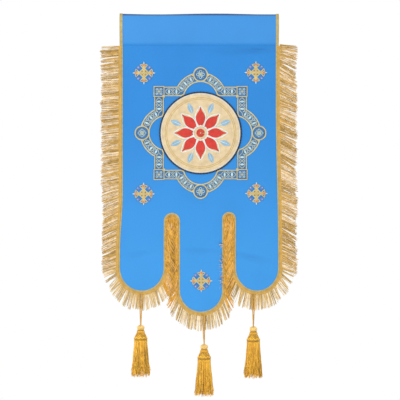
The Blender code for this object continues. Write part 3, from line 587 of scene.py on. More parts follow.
def draw_curve(name, lines, dimensions="3D", closed=False):
    """Curve object with one straight-sided spline for each line of (x, y, z, thickness) places."""
    curve = bpy.data.curves.new(name, "CURVE")
    curve.dimensions = dimensions
    for line in lines:
        spline = curve.splines.new("POLY")
        spline.points.add(len(line) - 1)
        for point, place in zip(spline.points, line):
            point.co = (place[0], place[1], place[2], 1.0)
            point.radius = place[3] if len(place) > 3 else 1.0
        spline.use_cyclic_u = closed
    obj = bpy.data.objects.new(name, curve)
    bpy.context.scene.collection.objects.link(obj)
    return obj


def to_mesh(obj):
    """Make a curve object a mesh."""
    pick(obj)
    bpy.ops.object.convert(target="MESH")
    return bpy.context.object


def stand_up(obj):
    """Turn a mesh drawn flat in X and Y upright, so that its height is Z and its front faces -Y."""
    obj.rotation_euler = (math.pi / 2, 0.0, 0.0)
    pick(obj)
    bpy.ops.object.transform_apply(location=False, rotation=True, scale=False)
    return obj


def any_shades(chance, lines):
    """A shade number for each line: usual twice as often as pale or deep."""
    return [chance.choice((0, 1, 1, 2)) for _ in lines]


def draw_tubes(name, lines, thickness, materials, sides=0, shades=(), closed=False):
    """Round threads along lines, as one mesh with a material slot for each given material."""
    obj = draw_curve(name, lines, closed=closed)
    obj.data.bevel_depth = thickness / 2
    obj.data.bevel_resolution = sides
    obj.data.use_fill_caps = not closed
    for material in materials:
        obj.data.materials.append(material)
    for spline, shade in zip(obj.data.splines, shades):
        spline.material_index = shade
    return finish_mesh(to_mesh(obj), 80.0)


def ride_on(obj, slot, *nodes):
    """Put a piece on the banner's body, in place of CAD nodes. Its slot argument is not used."""
    obj.name
    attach(obj, "root")
    if nodes:
        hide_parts(*nodes)
    return obj


# The cloth's shape


def clamp(value):
    """Keep a value between 0 and 1."""
    return min(max(value, 0.0), 1.0)


def smooth(value):
    """Rise from 0 to 1 with level ends."""
    value = clamp(value)
    return value * value * (3.0 - 2.0 * value)


def drape(x, z):
    """Depth of the cloth's middle at a place on the panel."""
    outwards = (abs(x) - EDGE_WAVE_FROM) / (CLOTH_HALF_WIDTH - EDGE_WAVE_FROM)
    start = EDGE_WAVE_START["left" if x < 0 else "right"]
    edge_wave = EDGE_WAVE_DEPTH * clamp(outwards) ** 2 * math.sin(EDGE_WAVE_TURN * z + start)
    below = clamp((z - CURL_FROM) / (CURL_TO - CURL_FROM)) ** 2
    curl = CURL_DEPTH + CURL_SWING * math.cos(CURL_SWING_TURN * x + CURL_SWING_START)
    tongue_wave = TONGUE_WAVE_DEPTH * math.sin(TONGUE_WAVE_TURN[0] * x + TONGUE_WAVE_TURN[1] * z)
    under_seam = smooth((-z - POCKET_HEIGHT) / EDGE_WAVE_FADE)
    return under_seam * edge_wave - below * (curl - tongue_wave)


def splay(x, z):
    """Sideways shift of the cloth at a place: none in its middle, most at its two long edges."""
    swing = SPLAYS["left" if x < 0 else "right"]
    across = clamp((abs(x) - swing.x_from) / (CLOTH_HALF_WIDTH - swing.x_from))
    return swing.shift * across * smooth((swing.z_from - z) / (swing.z_from - swing.z_to))


def line_stretch(name, start, end, nx):
    """Long stretch of the cloth's edge with its outward normal along X."""
    def point(u):
        x = start[0] + (end[0] - start[0]) * u
        z = start[1] + (end[1] - start[1]) * u
        return EdgePoint(x + splay(x, z), z, nx, 0.0)
    return Stretch(name, point, math.dist(start, end), False)


def arc_stretch(name, centre, half_width, depth, first_turn, last_turn, outward):
    """Elliptic stretch of the cloth's edge. Outward is 1 round a tongue and -1 round the top of a slot."""
    def point(u):
        turn = math.radians(first_turn + (last_turn - first_turn) * u)
        nx = math.cos(turn) / half_width
        nz = math.sin(turn) / depth
        size = math.hypot(nx, nz) * outward
        x = centre[0] + half_width * math.cos(turn)
        z = centre[1] + depth * math.sin(turn)
        return EdgePoint(x + splay(x, z), z, nx / size, nz / size)
    return Stretch(name, point, math.pi * (half_width + depth) / 2, True)


def tongue_bottom(tongue):
    """Rounded end of a tongue, from its left edge to its right edge."""
    half_width = (tongue.right - tongue.left) / 2
    centre = (tongue.left + half_width, tongue.round_from)
    return arc_stretch(tongue.name + "_bottom", centre, half_width, tongue.round_depth, 180.0, 360.0, 1)


def slot_edge(side, left_tongue, right_tongue):
    """Edge of a slot: up its left side, over its round top and down its right side."""
    radius = (right_tongue.left - left_tongue.right) / 2
    spring = SLOT_TOP[side] - radius
    name = side + "_slot"
    middle = (left_tongue.right + radius, spring)
    foot = (left_tongue.right, left_tongue.round_from)
    up = line_stretch(name + "_left", foot, (left_tongue.right, spring), 1.0)
    over = arc_stretch(name + "_top", middle, radius, radius, 180.0, 0.0, -1)
    down = line_stretch(
        name + "_right", (right_tongue.left, spring), (right_tongue.left, right_tongue.round_from), -1.0)
    return [up, over, down]


def cloth_edge():
    """Stretches of the panel's edge, from the top left corner round the tongues to the top right corner."""
    left, middle, right = TONGUES
    top = -POCKET_HEIGHT - LAYER_GAP
    stretches = [line_stretch("left_side", (left.left, top), (left.left, left.round_from), -1.0)]
    stretches.append(tongue_bottom(left))
    stretches.extend(slot_edge("left", left, middle))
    stretches.append(tongue_bottom(middle))
    stretches.extend(slot_edge("right", middle, right))
    stretches.append(tongue_bottom(right))
    stretches.append(line_stretch("right_side", (right.right, right.round_from), (right.right, top), 1.0))
    return stretches


STRETCHES = cloth_edge()


def edge_line(line_step, arc_step):
    """Points all along the panel's edge."""
    points = []
    for stretch in STRETCHES:
        count = math.ceil(stretch.length / (arc_step if stretch.curved else line_step))
        points.extend(stretch.point(index / count) for index in range(count))
    points.append(STRETCHES[-1].point(1.0))
    return points


def pocket_ring(x, inset):
    """Section of the pole pocket at x, from the front seam over the fold to the back, as (y, z, length)."""
    turn_along = 2 * math.pi * x / POCKET_WAVE_LENGTH
    wave = POCKET_WAVE * (math.sin(turn_along + POCKET_WAVE_START) - math.sin(POCKET_WAVE_START))
    half_gap = POCKET_HALF_GAP * (1.0 + POCKET_GAP_SWING * math.cos(turn_along))
    half = []
    for step in range(POCKET_STEPS + 1):
        turn = math.pi * step / POCKET_STEPS
        fullness = math.sin(turn) * math.sin(turn / 2)
        rise = (1.0 - math.cos(turn)) / 2
        depth = POCKET_SEAM_HALF_DEPTH * math.cos(turn / 2) + (half_gap + POCKET_WALL) * fullness
        half.append((depth, -POCKET_HEIGHT + POCKET_HEIGHT * rise + wave * rise * rise))
    outer = [(-depth, z) for depth, z in half] + [(depth, z) for depth, z in reversed(half[:-1])]
    ring = []
    travelled = 0.0
    for index, (y, z) in enumerate(outer):
        before = outer[max(index - 1, 0)]
        after = outer[min(index + 1, len(outer) - 1)]
        along = Vector((after[0] - before[0], after[1] - before[1])).normalized()
        place = (y + along.y * inset, z - along.x * inset)
        if ring:
            travelled += math.dist(place, ring[-1][:2])
        ring.append((*place, travelled))
    return ring


def on_ring(ring, travelled):
    """Place on a pocket section at a length from the front seam, with a straight tail past the back seam."""
    for first, second in zip(ring, ring[1:]):
        if travelled <= second[2]:
            share = (travelled - first[2]) / (second[2] - first[2])
            return first[0] + (second[0] - first[0]) * share, first[1] + (second[1] - first[1]) * share
    tail = travelled - ring[-1][2]
    return ring[-1][0] + 0.22 * tail, ring[-1][1] - tail


# Stage


class BANNER_OT_stage(bpy.types.Operator):
    """Add the camera, the soft lights, the white surroundings and the pale floor"""

    bl_idname = "banner.stage"
    bl_label = "Stage"

    def execute(self, context):
        place = (VIEW_MIDDLE[0], -CAMERA_DISTANCE, VIEW_MIDDLE[1])
        bpy.ops.object.camera_add(location=place, rotation=(math.pi / 2, 0.0, 0.0))
        camera = bpy.context.object
        camera.name = "camera"
        camera.data.sensor_width = SENSOR_WIDTH
        camera.data.lens = SENSOR_WIDTH * CAMERA_DISTANCE / VIEW_WIDTH
        context.scene.camera = camera
        world = bpy.data.worlds.new("white surroundings")
        world.use_nodes = True
        world.node_tree.nodes["Background"].inputs["Color"].default_value = (1.0, 1.0, 1.0, 1.0)
        world.node_tree.nodes["Background"].inputs["Strength"].default_value = 1.0
        context.scene.world = world
        context.scene.view_settings.view_transform = "Standard"
        for name, place, energy, size in LIGHTS:
            bpy.ops.object.light_add(type="AREA", location=place)
            light = bpy.context.object
            light.name = name
            light.data.energy = energy
            light.data.size = size
            light.rotation_euler = (Vector(LIGHT_AIM) - Vector(place)).to_track_quat("-Z", "Y").to_euler()
        deselect_all()
        bpy.ops.mesh.primitive_circle_add(
            vertices=96, radius=FLOOR_RADIUS, fill_type="NGON", location=(0.0, 0.0, FLOOR_HEIGHT))
        floor = bpy.context.object
        floor.name = "floor"
        apply_modifier(floor, "SOLIDIFY", thickness=0.04, offset=-1.0)
        apply_modifier(floor, "BEVEL", width=0.01, segments=3)
        material, tree, shader, place = start_material("pale floor", 0.7)
        cloudy = noise(tree, place.outputs["Object"], 3.0, 2.0)
        base = mixed(tree, cloudy, (0.80, 0.80, 0.79, 1.0), (0.84, 0.84, 0.83, 1.0))
        tree.links.new(base, shader.inputs["Base Color"])
        floor.data.materials.append(material)
        floor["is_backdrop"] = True
        return {"FINISHED"}


# Cloth


def flat_shape(name, loops):
    """Flat mesh filled between closed outlines of (x, z), standing in the X-Z plane."""
    obj = draw_curve(name, [[(x, z, 0.0) for x, z in loop] for loop in loops], "2D", closed=True)
    obj.data.fill_mode = "FRONT"
    return stand_up(to_mesh(obj))


def cut_flat(obj, axis, low, high, pitch):
    """Bisect a standing flat mesh at even steps along X (0) or Z (2)."""
    pick(obj)
    bpy.ops.object.mode_set(mode="EDIT")
    normal = (1.0, 0.0, 0.0) if axis == 0 else (0.0, 0.0, 1.0)
    for step in range(1, math.ceil((high - low) / pitch)):
        place = [0.0, 0.0, 0.0]
        place[axis] = low + step * pitch
        bpy.ops.mesh.select_all(action="SELECT")
        bpy.ops.mesh.bisect(plane_co=place, plane_no=normal)
    bpy.ops.object.mode_set(mode="OBJECT")


def lay_on_panel(obj, front=0.0):
    """Move each point of a standing mesh by the cloth's drape, and by a depth towards the front."""
    for vert in obj.data.vertices:
        vert.co.y += drape(vert.co.x, vert.co.z) - front
    obj.data.update()
    return obj


def crease(x, z):
    """Depth at a place of the soft dents in the cloth: two under the seam and three across the tongues."""
    depth = 0.0
    for row in CREASES:
        along = (x - row.x) / row.length
        across = (z - row.z - row.slope * (x - row.x)) / row.width
        depth += row.depth * math.exp(-along * along - across * across)
    return depth


class BANNER_OT_cloth(bpy.types.Operator):
    """Build the blue cloth: the panel with its tongues and the folded pole pocket in one sheet"""

    bl_idname = "banner.cloth"
    bl_label = "Cloth"

    def execute(self, context):
        rings = {}
        wall = pocket_ring(0.0, POCKET_WALL / 2)
        length_over = wall[-1][2] + POCKET_TAIL
        seam = -POCKET_HEIGHT
        top = seam + length_over
        outline = [(point.x, point.z) for point in edge_line(0.012, 0.006)]
        outline[0] = (-CLOTH_HALF_WIDTH, top)
        outline[-1] = (CLOTH_HALF_WIDTH, top)
        cloth = flat_shape("banner_cloth_sheet", [outline])
        half_width = CLOTH_HALF_WIDTH + CUT_PITCH / 2
        cut_flat(cloth, 0, -half_width, half_width, CUT_PITCH)
        cut_flat(cloth, 2, -0.995, seam, CUT_PITCH)
        cut_flat(cloth, 2, seam - POCKET_CUT_PITCH, top, POCKET_CUT_PITCH)
        area = sum(face.area for face in cloth.data.polygons)
        for vert in cloth.data.vertices:
            x, flat_z = vert.co.x, vert.co.z
            if flat_z <= seam:
                vert.co.y = drape(x, flat_z) + crease(x, flat_z)
                continue
            key = round(x, 4)
            if key not in rings:
                rings[key] = pocket_ring(x, POCKET_WALL / 2)
            y, z = on_ring(rings[key], flat_z - seam)
            front_share = 1.0 - smooth((flat_z - seam) / 0.008)
            vert.co.y = y + 0.0010 * front_share
            vert.co.z = z
        finish_mesh(cloth, 60.0)
        apply_modifier(cloth, "SOLIDIFY", thickness=POCKET_WALL, offset=0.0)
        colours = context.scene.banner_colours
        cloth.data.materials.clear()
        blue = cloth_material(colours.cloth, colours.cloth_low_lit, colours.pocket, colours.fold)
        cloth.data.materials.append(blue)
        ride_on(cloth, "cloth", "banner_cloth", "rod_sleeve")
        self.add_seam(context)
        return {"FINISHED"}

    def add_seam(self, context):
        """Row of stitches along the pocket's seam, modelled once and copied."""
        long = context.scene.banner_sizes.stitch
        arch = [(share * long, lift, 0.0)
                for share, lift in ((-0.5, 0.0002), (-0.25, -0.0003), (0.25, -0.0003), (0.5, 0.0002))]
        thread = thread_material("blue sewing thread", context.scene.banner_colours.cloth, 3.0, 0.6)
        stitch = draw_tubes("seam_stitch", [arch], 0.0006, [thread])
        stitches = []
        pitch = 1.35 * long
        count = int((2 * CLOTH_HALF_WIDTH - 2 * BINDING_LEG) / pitch)
        for side, depth in ((-1, 0.0020), (1, 0.0032)):
            for number in range(count):
                copy = stitch.copy()
                copy.data = stitch.data.copy()
                shift = ((number - (count - 1) / 2) * pitch, side * depth, -POCKET_HEIGHT + 0.0022)
                turn = Matrix.Rotation(0.0 if side < 0 else math.pi, 4, "Z")
                copy.data.transform(Matrix.Translation(shift) @ turn)
                context.scene.collection.objects.link(copy)
                stitches.append(copy)
        bpy.data.objects.remove(stitch)
        seam = join_pieces("pocket_seam_stitches", stitches)
        ride_on(seam, "cloth")


# Binding and fringe


def sweep_on_edge(name, profile_mm, material):
    """Tape with a closed profile of (outwards, forwards) places in mm, swept along the panel's edge."""
    profile = [(x / 1000, y / 1000, 0.0) for x, y in profile_mm]
    shape = draw_curve(name + "_profile", [profile], "2D", closed=True)
    tape = draw_curve(name, [[(point.x, point.z, 0.0) for point in edge_line(0.010, 0.004)]])
    tape.data.twist_mode = "Z_UP"
    tape.data.bevel_mode = "OBJECT"
    tape.data.bevel_object = shape
    tape.data.use_fill_caps = True
    tape.data.materials.append(material)
    tape = stand_up(to_mesh(tape))
    bpy.data.objects.remove(shape)
    lay_on_panel(tape)
    return finish_mesh(tape, 50.0)


def pocket_strip(name, side, width, thickness, lift, material):
    """Tape that wraps round one end of the pole pocket."""
    sign = -1.0 if side == "left" else 1.0
    deselect_all()
    bpy.ops.mesh.primitive_grid_add(x_subdivisions=4, y_subdivisions=64, size=1.0)
    strip = bpy.context.object
    strip.name = name
    rings = {}
    for vert in strip.data.vertices:
        x = sign * (CLOTH_HALF_WIDTH + 0.0006 - width * (vert.co.x + 0.5))
        key = round(x, 5)
        if key not in rings:
            rings[key] = pocket_ring(x, -lift)
        y, z = on_ring(rings[key], rings[key][-1][2] * (vert.co.y + 0.5))
        vert.co = (x, y, z)
    finish_mesh(strip)
    apply_modifier(strip, "SOLIDIFY", thickness=thickness, offset=0.0)
    apply_modifier(strip, "BEVEL", width=0.0003, segments=2, limit_method="ANGLE")
    strip.data.materials.append(material)
    bpy.ops.object.shade_smooth_by_angle(angle=math.radians(40.0))
    return strip


class BANNER_OT_binding(bpy.types.Operator):
    """Fold the gold binding round the panel's edge and the ends of the pole pocket"""

    bl_idname = "banner.binding"
    bl_label = "Binding"

    def execute(self, context):
        colours = context.scene.banner_colours
        tape = thread_material("binding tape", colours.binding, 1500.0, 0.5, 0.1, slant=0.01)
        binding = sweep_on_edge("edge_binding_tape", BINDING_PROFILE_MM, tape)
        ride_on(binding, "binding", "edge_binding")
        short = thread_material("pocket tape", colours.binding, 260.0, 0.5, 0.1, slant=0.01)
        for side in ("left", "right"):
            strip = pocket_strip("pocket_tape_" + side, side, BINDING_LEG + 0.0006, BINDING_THICKNESS,
                                 LAYER_GAP + BINDING_THICKNESS / 2, short)
            ride_on(strip, "binding", "sleeve_binding_" + side)
        return {"FINISHED"}


def sum_waves(waves, number):
    """Sum of a few sine waves at a lock's number."""
    return sum(share * math.sin(turn * number + start) for share, turn, start in waves)


def strand_line(chance, point, angle, length, depth, layer, sag, gather, outwards=0.0035):
    """One fringe strand from its place on the heading: it leaves at an angle, sags a little and wavers."""
    root = Vector((point.x + outwards * point.nx, depth, point.z + outwards * point.nz))
    direction = Vector((math.copysign(math.cos(angle), point.nx), 0.0, -math.sin(angle)))
    across = Vector((-direction.z, 0.0, direction.x))
    bend = chance.gauss(0.0, 0.014) * length
    start = chance.uniform(0.0, 6.28)
    waver = chance.uniform(0.0001, 0.0005)
    line = []
    for step in range(6):
        u = step / 5
        place = root + direction * length * u
        off = bend * u * u + waver * u * math.sin(start + 7.0 * u) + gather * u * u * (1.6 - 0.6 * u)
        place += across * off
        place.z -= sag * length * u * u
        place.y += layer * smooth(2.5 * u)
        line.append((*place, 1.0 - 0.28 * u ** 3))
    return line


def strand_angle(row, point, share, swing):
    """Angle of a strand below the horizontal, from its row's droop and the direction of the edge."""
    along = smooth(3.0 * share - 1.3) if row.locks > 50 else share
    droop = row.droop_a + (row.droop_b - row.droop_a) * along
    square = math.degrees(math.atan2(-point.nz, abs(point.nx)))
    return math.radians(square + (droop + swing) * (90.0 - square) / 90.0)


def bunches_along(chance, length, bunching, pitch):
    """Uneven bunches along a stretch: the place of each strand, and what the strands of its bunch share."""
    start = 0.0
    while start < length:
        width = chance.uniform(bunching.narrow, bunching.wide)
        turn = chance.gauss(0.0, bunching.spread)
        reach = chance.uniform(0.95, 1.03)
        gather = chance.uniform(bunching.least_gather, bunching.most_gather) * width
        shade = chance.choice((0, 1, 1, 2))
        count = max(2, round(width / pitch))
        for number in range(count):
            part = (number + chance.uniform(0.2, 0.8)) / count
            place = (start + width * part) / length
            if place <= 1.0:
                yield place, turn, reach, (0.5 - part) * gather, shade
        start += width


def strand_length(row, point, ring_number, lock, share):
    """Length of a strand: longer round a slot's top, shorter where the cloth's side edge splays outwards."""
    length = row.length * (1.0 + sum_waves(LENGTH_WAVES, ring_number + math.floor(lock)))
    length *= 1.0 + row.longer * math.sin(math.pi * share)
    return length - 0.95 * abs(splay(point.x, point.z)) * clamp(4.0 * abs(point.nx) - 2.0)


def beside_slot(stretch, share):
    """Whether a place on a tongue's rounded end lies beside a slot, where the slot's tones, with the painted
    shade of their deep copy, go on.
    """
    first, last = SLOT_TONE_AND_SHADE.get(stretch.name, (0.0, 1.0))
    return share < first or share > last


def fringe_lines(chance, stretch, ring_number, pitch):
    """Strands along one stretch of the edge and their shades. Two layers have bunches that don't match."""
    row = FRINGE_ROWS[stretch.name]
    sections = row.bare_before + row.locks + row.bare_after
    kind = "slot" if "slot" in stretch.name else "bottom" if stretch.curved else stretch.name
    bunching = BUNCHES[kind]
    layer_pitch = pitch * (0.7 if bunching.layers == 1 else 1.0)
    lines = []
    shades = []
    for number in range(bunching.layers):
        strands = bunches_along(chance, stretch.length, bunching, layer_pitch)
        for place, turn, reach, gather, shade in strands:
            lock = place * sections - row.bare_before
            share = clamp(lock / max(row.locks - 1, 1))
            if row.longer and not -0.5 < lock < row.locks + 0.5:
                continue
            point = stretch.point(place)
            swing = row.swing * sum_waves(SWING_WAVES, ring_number + lock) + turn
            swing += chance.gauss(0.0, bunching.scatter)
            if stretch.name == "right_side":
                rise = smooth(1.0 - (1.0 - place) * stretch.length / 0.04)
                point = point._replace(z=point.z + 0.005 * rise)
                swing -= 18.0 * rise
            length = strand_length(row, point, ring_number, lock, share) * reach
            length *= chance.triangular(0.90, 1.03, 1.0)
            layer = row.layer_a
            if stretch.curved:
                layer = row.layer_a * smooth(1.0 - 2.0 * share) + row.layer_b * smooth(2.0 * share - 1.0)
            behind = STRAND_LAYERS[number] if bunching.layers > 1 else chance.choice(STRAND_LAYERS)
            depth = drape(point.x, point.z) - 0.00315 + behind + chance.uniform(-0.0003, 0.0003)
            angle = strand_angle(row, point, share, swing)
            sag = 0.03 * abs(math.cos(angle)) * chance.uniform(0.3, 1.5)
            lines.append(strand_line(chance, point, angle, length, depth, layer, sag, gather))
            shade = shade if chance.random() < 0.5 else chance.choice((0, 1, 2))
            shades.append(shade + 3 if beside_slot(stretch, share) else shade)
    if kind == "slot":
        add_short_strands(chance, stretch, pitch, lines, shades)
    return lines, shades, sections


def add_short_strands(chance, stretch, pitch, lines, shades):
    """Short steep strands that lie over the heading in a slot."""
    for place, turn, _, gather, _ in bunches_along(chance, stretch.length, BUNCHES["slot"], pitch):
        point = stretch.point(place)
        angle = math.radians(chance.gauss(78.0, 9.0) + turn)
        depth = drape(point.x, point.z) - 0.0047
        length = chance.uniform(0.012, 0.024)
        outwards = chance.uniform(-0.004, 0.003)
        lines.append(strand_line(chance, point, angle, length, depth, 0.0, 0.0, gather, outwards))
        shades.append(chance.choice((0, 1, 1, 2)))


def stray_lines(chance):
    """Loose hairs that curl from the right slot's heading over the edge of the middle tongue."""
    edge_x = TONGUES[1].right
    lines = []
    for low, high, count in STRAY_HAIRS:
        for _ in range(count):
            place = Vector((edge_x - 0.006, 0.0, chance.uniform(low, high)))
            turn = math.radians(chance.uniform(120.0, 240.0))
            curl = chance.uniform(-0.5, 0.5)
            line = []
            for step in range(7):
                front = drape(place.x, place.z) - 0.0041
                line.append((place.x, front, place.z, 1.0 - 0.08 * step))
                place = place + Vector((math.cos(turn), 0.0, math.sin(turn))) * chance.uniform(0.0016, 0.0034)
                turn += curl
            lines.append(line)
    return lines


class BANNER_OT_fringe(bpy.types.Operator):
    """Sew the gold fringe, strand by strand, round the sides, tongues and slots"""

    bl_idname = "banner.fringe"
    bl_label = "Fringe"

    def execute(self, context):
        colours = context.scene.banner_colours
        sizes = context.scene.banner_sizes
        palette = {}
        for kind, (light, dark) in FRINGE_TONES.items():
            tone = getattr(colours, "fringe_" + kind)
            # Pale and deep copies of each tone: a random tone from bunch to bunch, and also painted light on
            # the bunches and painted shade between them.
            shades = (("pale", paler(tone, light)), ("usual", tone), ("deep", lighter(tone, dark)[:3]))
            palette[kind] = [
                thread_material(f"fringe thread {kind} {name}", shade, 26.0, 0.45, 0.1, slant=1.0, groove_shade=0.2)
                for name, shade in shades
            ]
        palette["bottom"] += palette["slot"]
        braid = thread_material("fringe heading braid", colours.heading, 1300.0, 0.5, 0.1, slant=4.0)
        heading = sweep_on_edge("fringe_heading", HEADING_PROFILE_MM, braid)
        drawn = {}
        ring_number = 0
        chance = random.Random(11)
        for stretch in STRETCHES:
            *drawn[stretch.name], sections = fringe_lines(chance, stretch, ring_number, sizes.strand_pitch)
            ring_number += sections
        pieces = [heading]
        for name, (kind, *stretches) in FRINGE_PIECES.items():
            lines = [line for stretch in stretches for line in drawn[stretch][0]]
            shades = [shade for stretch in stretches for shade in drawn[stretch][1]]
            pieces.append(draw_tubes(name, lines, sizes.strand, palette[kind], shades=shades))
        hairs = stray_lines(chance)
        shades = any_shades(chance, hairs)
        pieces.append(draw_tubes("fringe_stray_hairs", hairs, HAIR_DIAMETER, palette["hair"], shades=shades))
        for piece in pieces:
            ride_on(piece, "fringe", "fringe")
        return {"FINISHED"}


# Ornament


def circle(centre, radius, first_turn, last_turn, steps):
    """Points of an arc in the X-Z plane, both ends included. A turn of 90 degrees points up."""
    points = []
    for step in range(steps + 1):
        turn = math.radians(first_turn + (last_turn - first_turn) * step / steps)
        points.append((centre[0] + radius * math.cos(turn), centre[1] + radius * math.sin(turn)))
    return points


def frame_edge(outer, inset):
    """One eighth of the frame's outer or inner edge, moved into the band by an inset."""
    corner_near = FRAME_HALF_SIDE - FRAME_CORNER / 2
    if outer:
        lobe = LOBE_RADIUS + FRAME_BAND / 2 - inset
        band = FRAME_HALF_SIDE + FRAME_BAND / 2 - inset
        corner_far = FRAME_HALF_SIDE + FRAME_CORNER / 2 - inset
        roundel = ROUNDEL_RADIUS - inset
        spread = ROUNDEL_OFFSET - LOBE_OFFSET
        rise = (spread ** 2 + lobe ** 2 - roundel ** 2) / (2 * spread)
        meet_on_lobe = math.degrees(math.asin(rise / lobe))
        meet_on_roundel = math.degrees(math.asin((rise - spread) / roundel))
        band_on_lobe = math.degrees(math.asin((band - LOBE_OFFSET) / lobe))
        points = circle((0.0, ROUNDEL_OFFSET), roundel, 90.0, meet_on_roundel, 12)
        points += circle((0.0, LOBE_OFFSET), lobe, meet_on_lobe, band_on_lobe, 16)[1:]
        corner = [(corner_near + inset, band), (corner_near + inset, corner_far), (corner_far, corner_far)]
        return points + corner
    lobe = LOBE_RADIUS - FRAME_BAND / 2 + inset
    band = FRAME_HALF_SIDE - FRAME_BAND / 2 + inset
    hole = RIM_CORD_RADIUS + RIM_CORD_DIAMETER / 2 + FRAME_CLEARANCE + inset
    meet_z = (hole ** 2 - lobe ** 2 + LOBE_OFFSET ** 2) / (2 * LOBE_OFFSET)
    meet_on_lobe = math.degrees(math.asin((meet_z - LOBE_OFFSET) / lobe))
    meet_on_hole = math.degrees(math.asin(meet_z / hole))
    band_on_hole = math.degrees(math.asin(band / hole))
    points = circle((0.0, LOBE_OFFSET), lobe, 90.0, meet_on_lobe, 18)
    points += circle((0.0, 0.0), hole, meet_on_hole, band_on_hole, 4)[1:]
    return points + [(corner_near, band), (corner_near, corner_near)]


def mirrored_round(eighth):
    """Repeat one eighth of an outline, given from the top clockwise to the diagonal, all the way round."""
    quarter = eighth + [(z, x) for x, z in reversed(eighth[:-1])]
    outline = []
    for turn in range(4):
        for x, z in quarter[:-1]:
            for _ in range(turn):
                x, z = z, -x
            outline.append((ORNAMENT_CENTRE[0] + x, ORNAMENT_CENTRE[1] + z))
    return outline


def add_patch(name, loops, material, thickness=PATCH_THICKNESS, pitch=0.020, front=0.0):
    """Thin stitched patch between outlines, laid on the front of the panel."""
    patch = flat_shape(name, loops)
    for axis in (0, 2):
        values = [vert.co[axis] for vert in patch.data.vertices]
        cut_flat(patch, axis, min(values), max(values), pitch)
    back = -CLOTH_FRONT + LAYER_GAP + front
    lay_on_panel(patch, back + thickness / 2)
    finish_mesh(patch, 60.0)
    apply_modifier(patch, "SOLIDIFY", thickness=thickness, offset=0.0)
    patch.data.materials.clear()
    patch.data.materials.append(material)
    return patch


def add_stitching(name, lines, width, material, height=0.0009, lift=PATCH_THICKNESS, sides=1, closed=False):
    """Raised rows of thread along lines of (x, z) or (x, z, thickness), flattened and laid on the panel."""
    flat_lines = [[(p[0], p[1], 0.0, *p[2:]) for p in line] for line in lines]
    obj = draw_curve(name, flat_lines, closed=closed)
    obj.data.twist_mode = "Z_UP"
    obj.data.bevel_depth = width / 2
    obj.data.bevel_resolution = sides
    obj.data.use_fill_caps = not closed
    obj.data.materials.append(material)
    obj = stand_up(to_mesh(obj))
    for vert in obj.data.vertices:
        vert.co.y *= height / width
    lay_on_panel(obj, -CLOTH_FRONT + LAYER_GAP + lift + 0.25 * height)
    return finish_mesh(obj, 70.0)


def turned(lines, turns=4, centre=ORNAMENT_CENTRE):
    """Copies of lines round a centre, a quarter turn apart."""
    copies = []
    for turn in range(turns):
        for line in lines:
            copy = []
            for point in line:
                x, z = point[0], point[1]
                for _ in range(turn):
                    x, z = z, -x
                copy.append((centre[0] + x, centre[1] + z, *point[2:]))
            copies.append(copy)
    return copies


def mirrored(lines):
    """Lines and their mirror images left and right."""
    return lines + [[(-point[0], *point[1:]) for point in line] for line in lines]


def travel(line, pitch):
    """Places, directions and travelled lengths at even steps along a line of (x, z)."""
    lengths = [0.0]
    for first, second in zip(line, line[1:]):
        lengths.append(lengths[-1] + math.dist(first, second))
    count = max(1, round(lengths[-1] / pitch))
    found = []
    cursor = 0
    for step in range(count + 1):
        target = lengths[-1] * step / count
        while cursor < len(line) - 2 and lengths[cursor + 1] < target:
            cursor += 1
        first, second = line[cursor], line[cursor + 1]
        span = lengths[cursor + 1] - lengths[cursor]
        share = (target - lengths[cursor]) / span
        along = ((second[0] - first[0]) / span, (second[1] - first[1]) / span)
        place = (first[0] + (second[0] - first[0]) * share, first[1] + (second[1] - first[1]) * share)
        found.append((place, along, target))
    return found, lengths[-1]


def beside(step, off):
    """Place at a distance to the left of a step of a travelled line."""
    (x, z), (ax, az), _ = step
    return (x - az * off, z + ax * off)


def wave_band(line, lenses, swing):
    """Two crossing waves along a line, with an almond across each lens and curls beside each crossing."""
    steps, length = travel(line, 0.0014)
    lens = length / lenses
    def nearest(start, further=0.0):
        return min(steps, key=lambda step: abs(step[2] - start - further))

    waves = []
    for sign in (1, -1):
        waves.append([beside(step, sign * swing * math.sin(math.pi * step[2] / lens)) for step in steps])
    almonds = []
    for number in range(lenses):
        middle = nearest((number + 0.5) * lens)
        almonds.append([
            (*beside(middle, share * ALMOND_REACH), 0.25 + 0.75 * math.cos(math.pi * share / 2))
            for share in ACROSS_ALMOND
        ])
    curls = []
    for number in range(1, lenses):
        for side in (1, -1):
            curl = []
            for turn in range(9):
                angle = math.radians(-30 + 30 * turn)
                step = nearest(number * lens, CURL_REACH * math.cos(angle))
                curl.append(beside(step, side * (swing * 0.98 - CURL_REACH * math.sin(angle))))
            curls.append(curl)
    return waves, almonds, curls


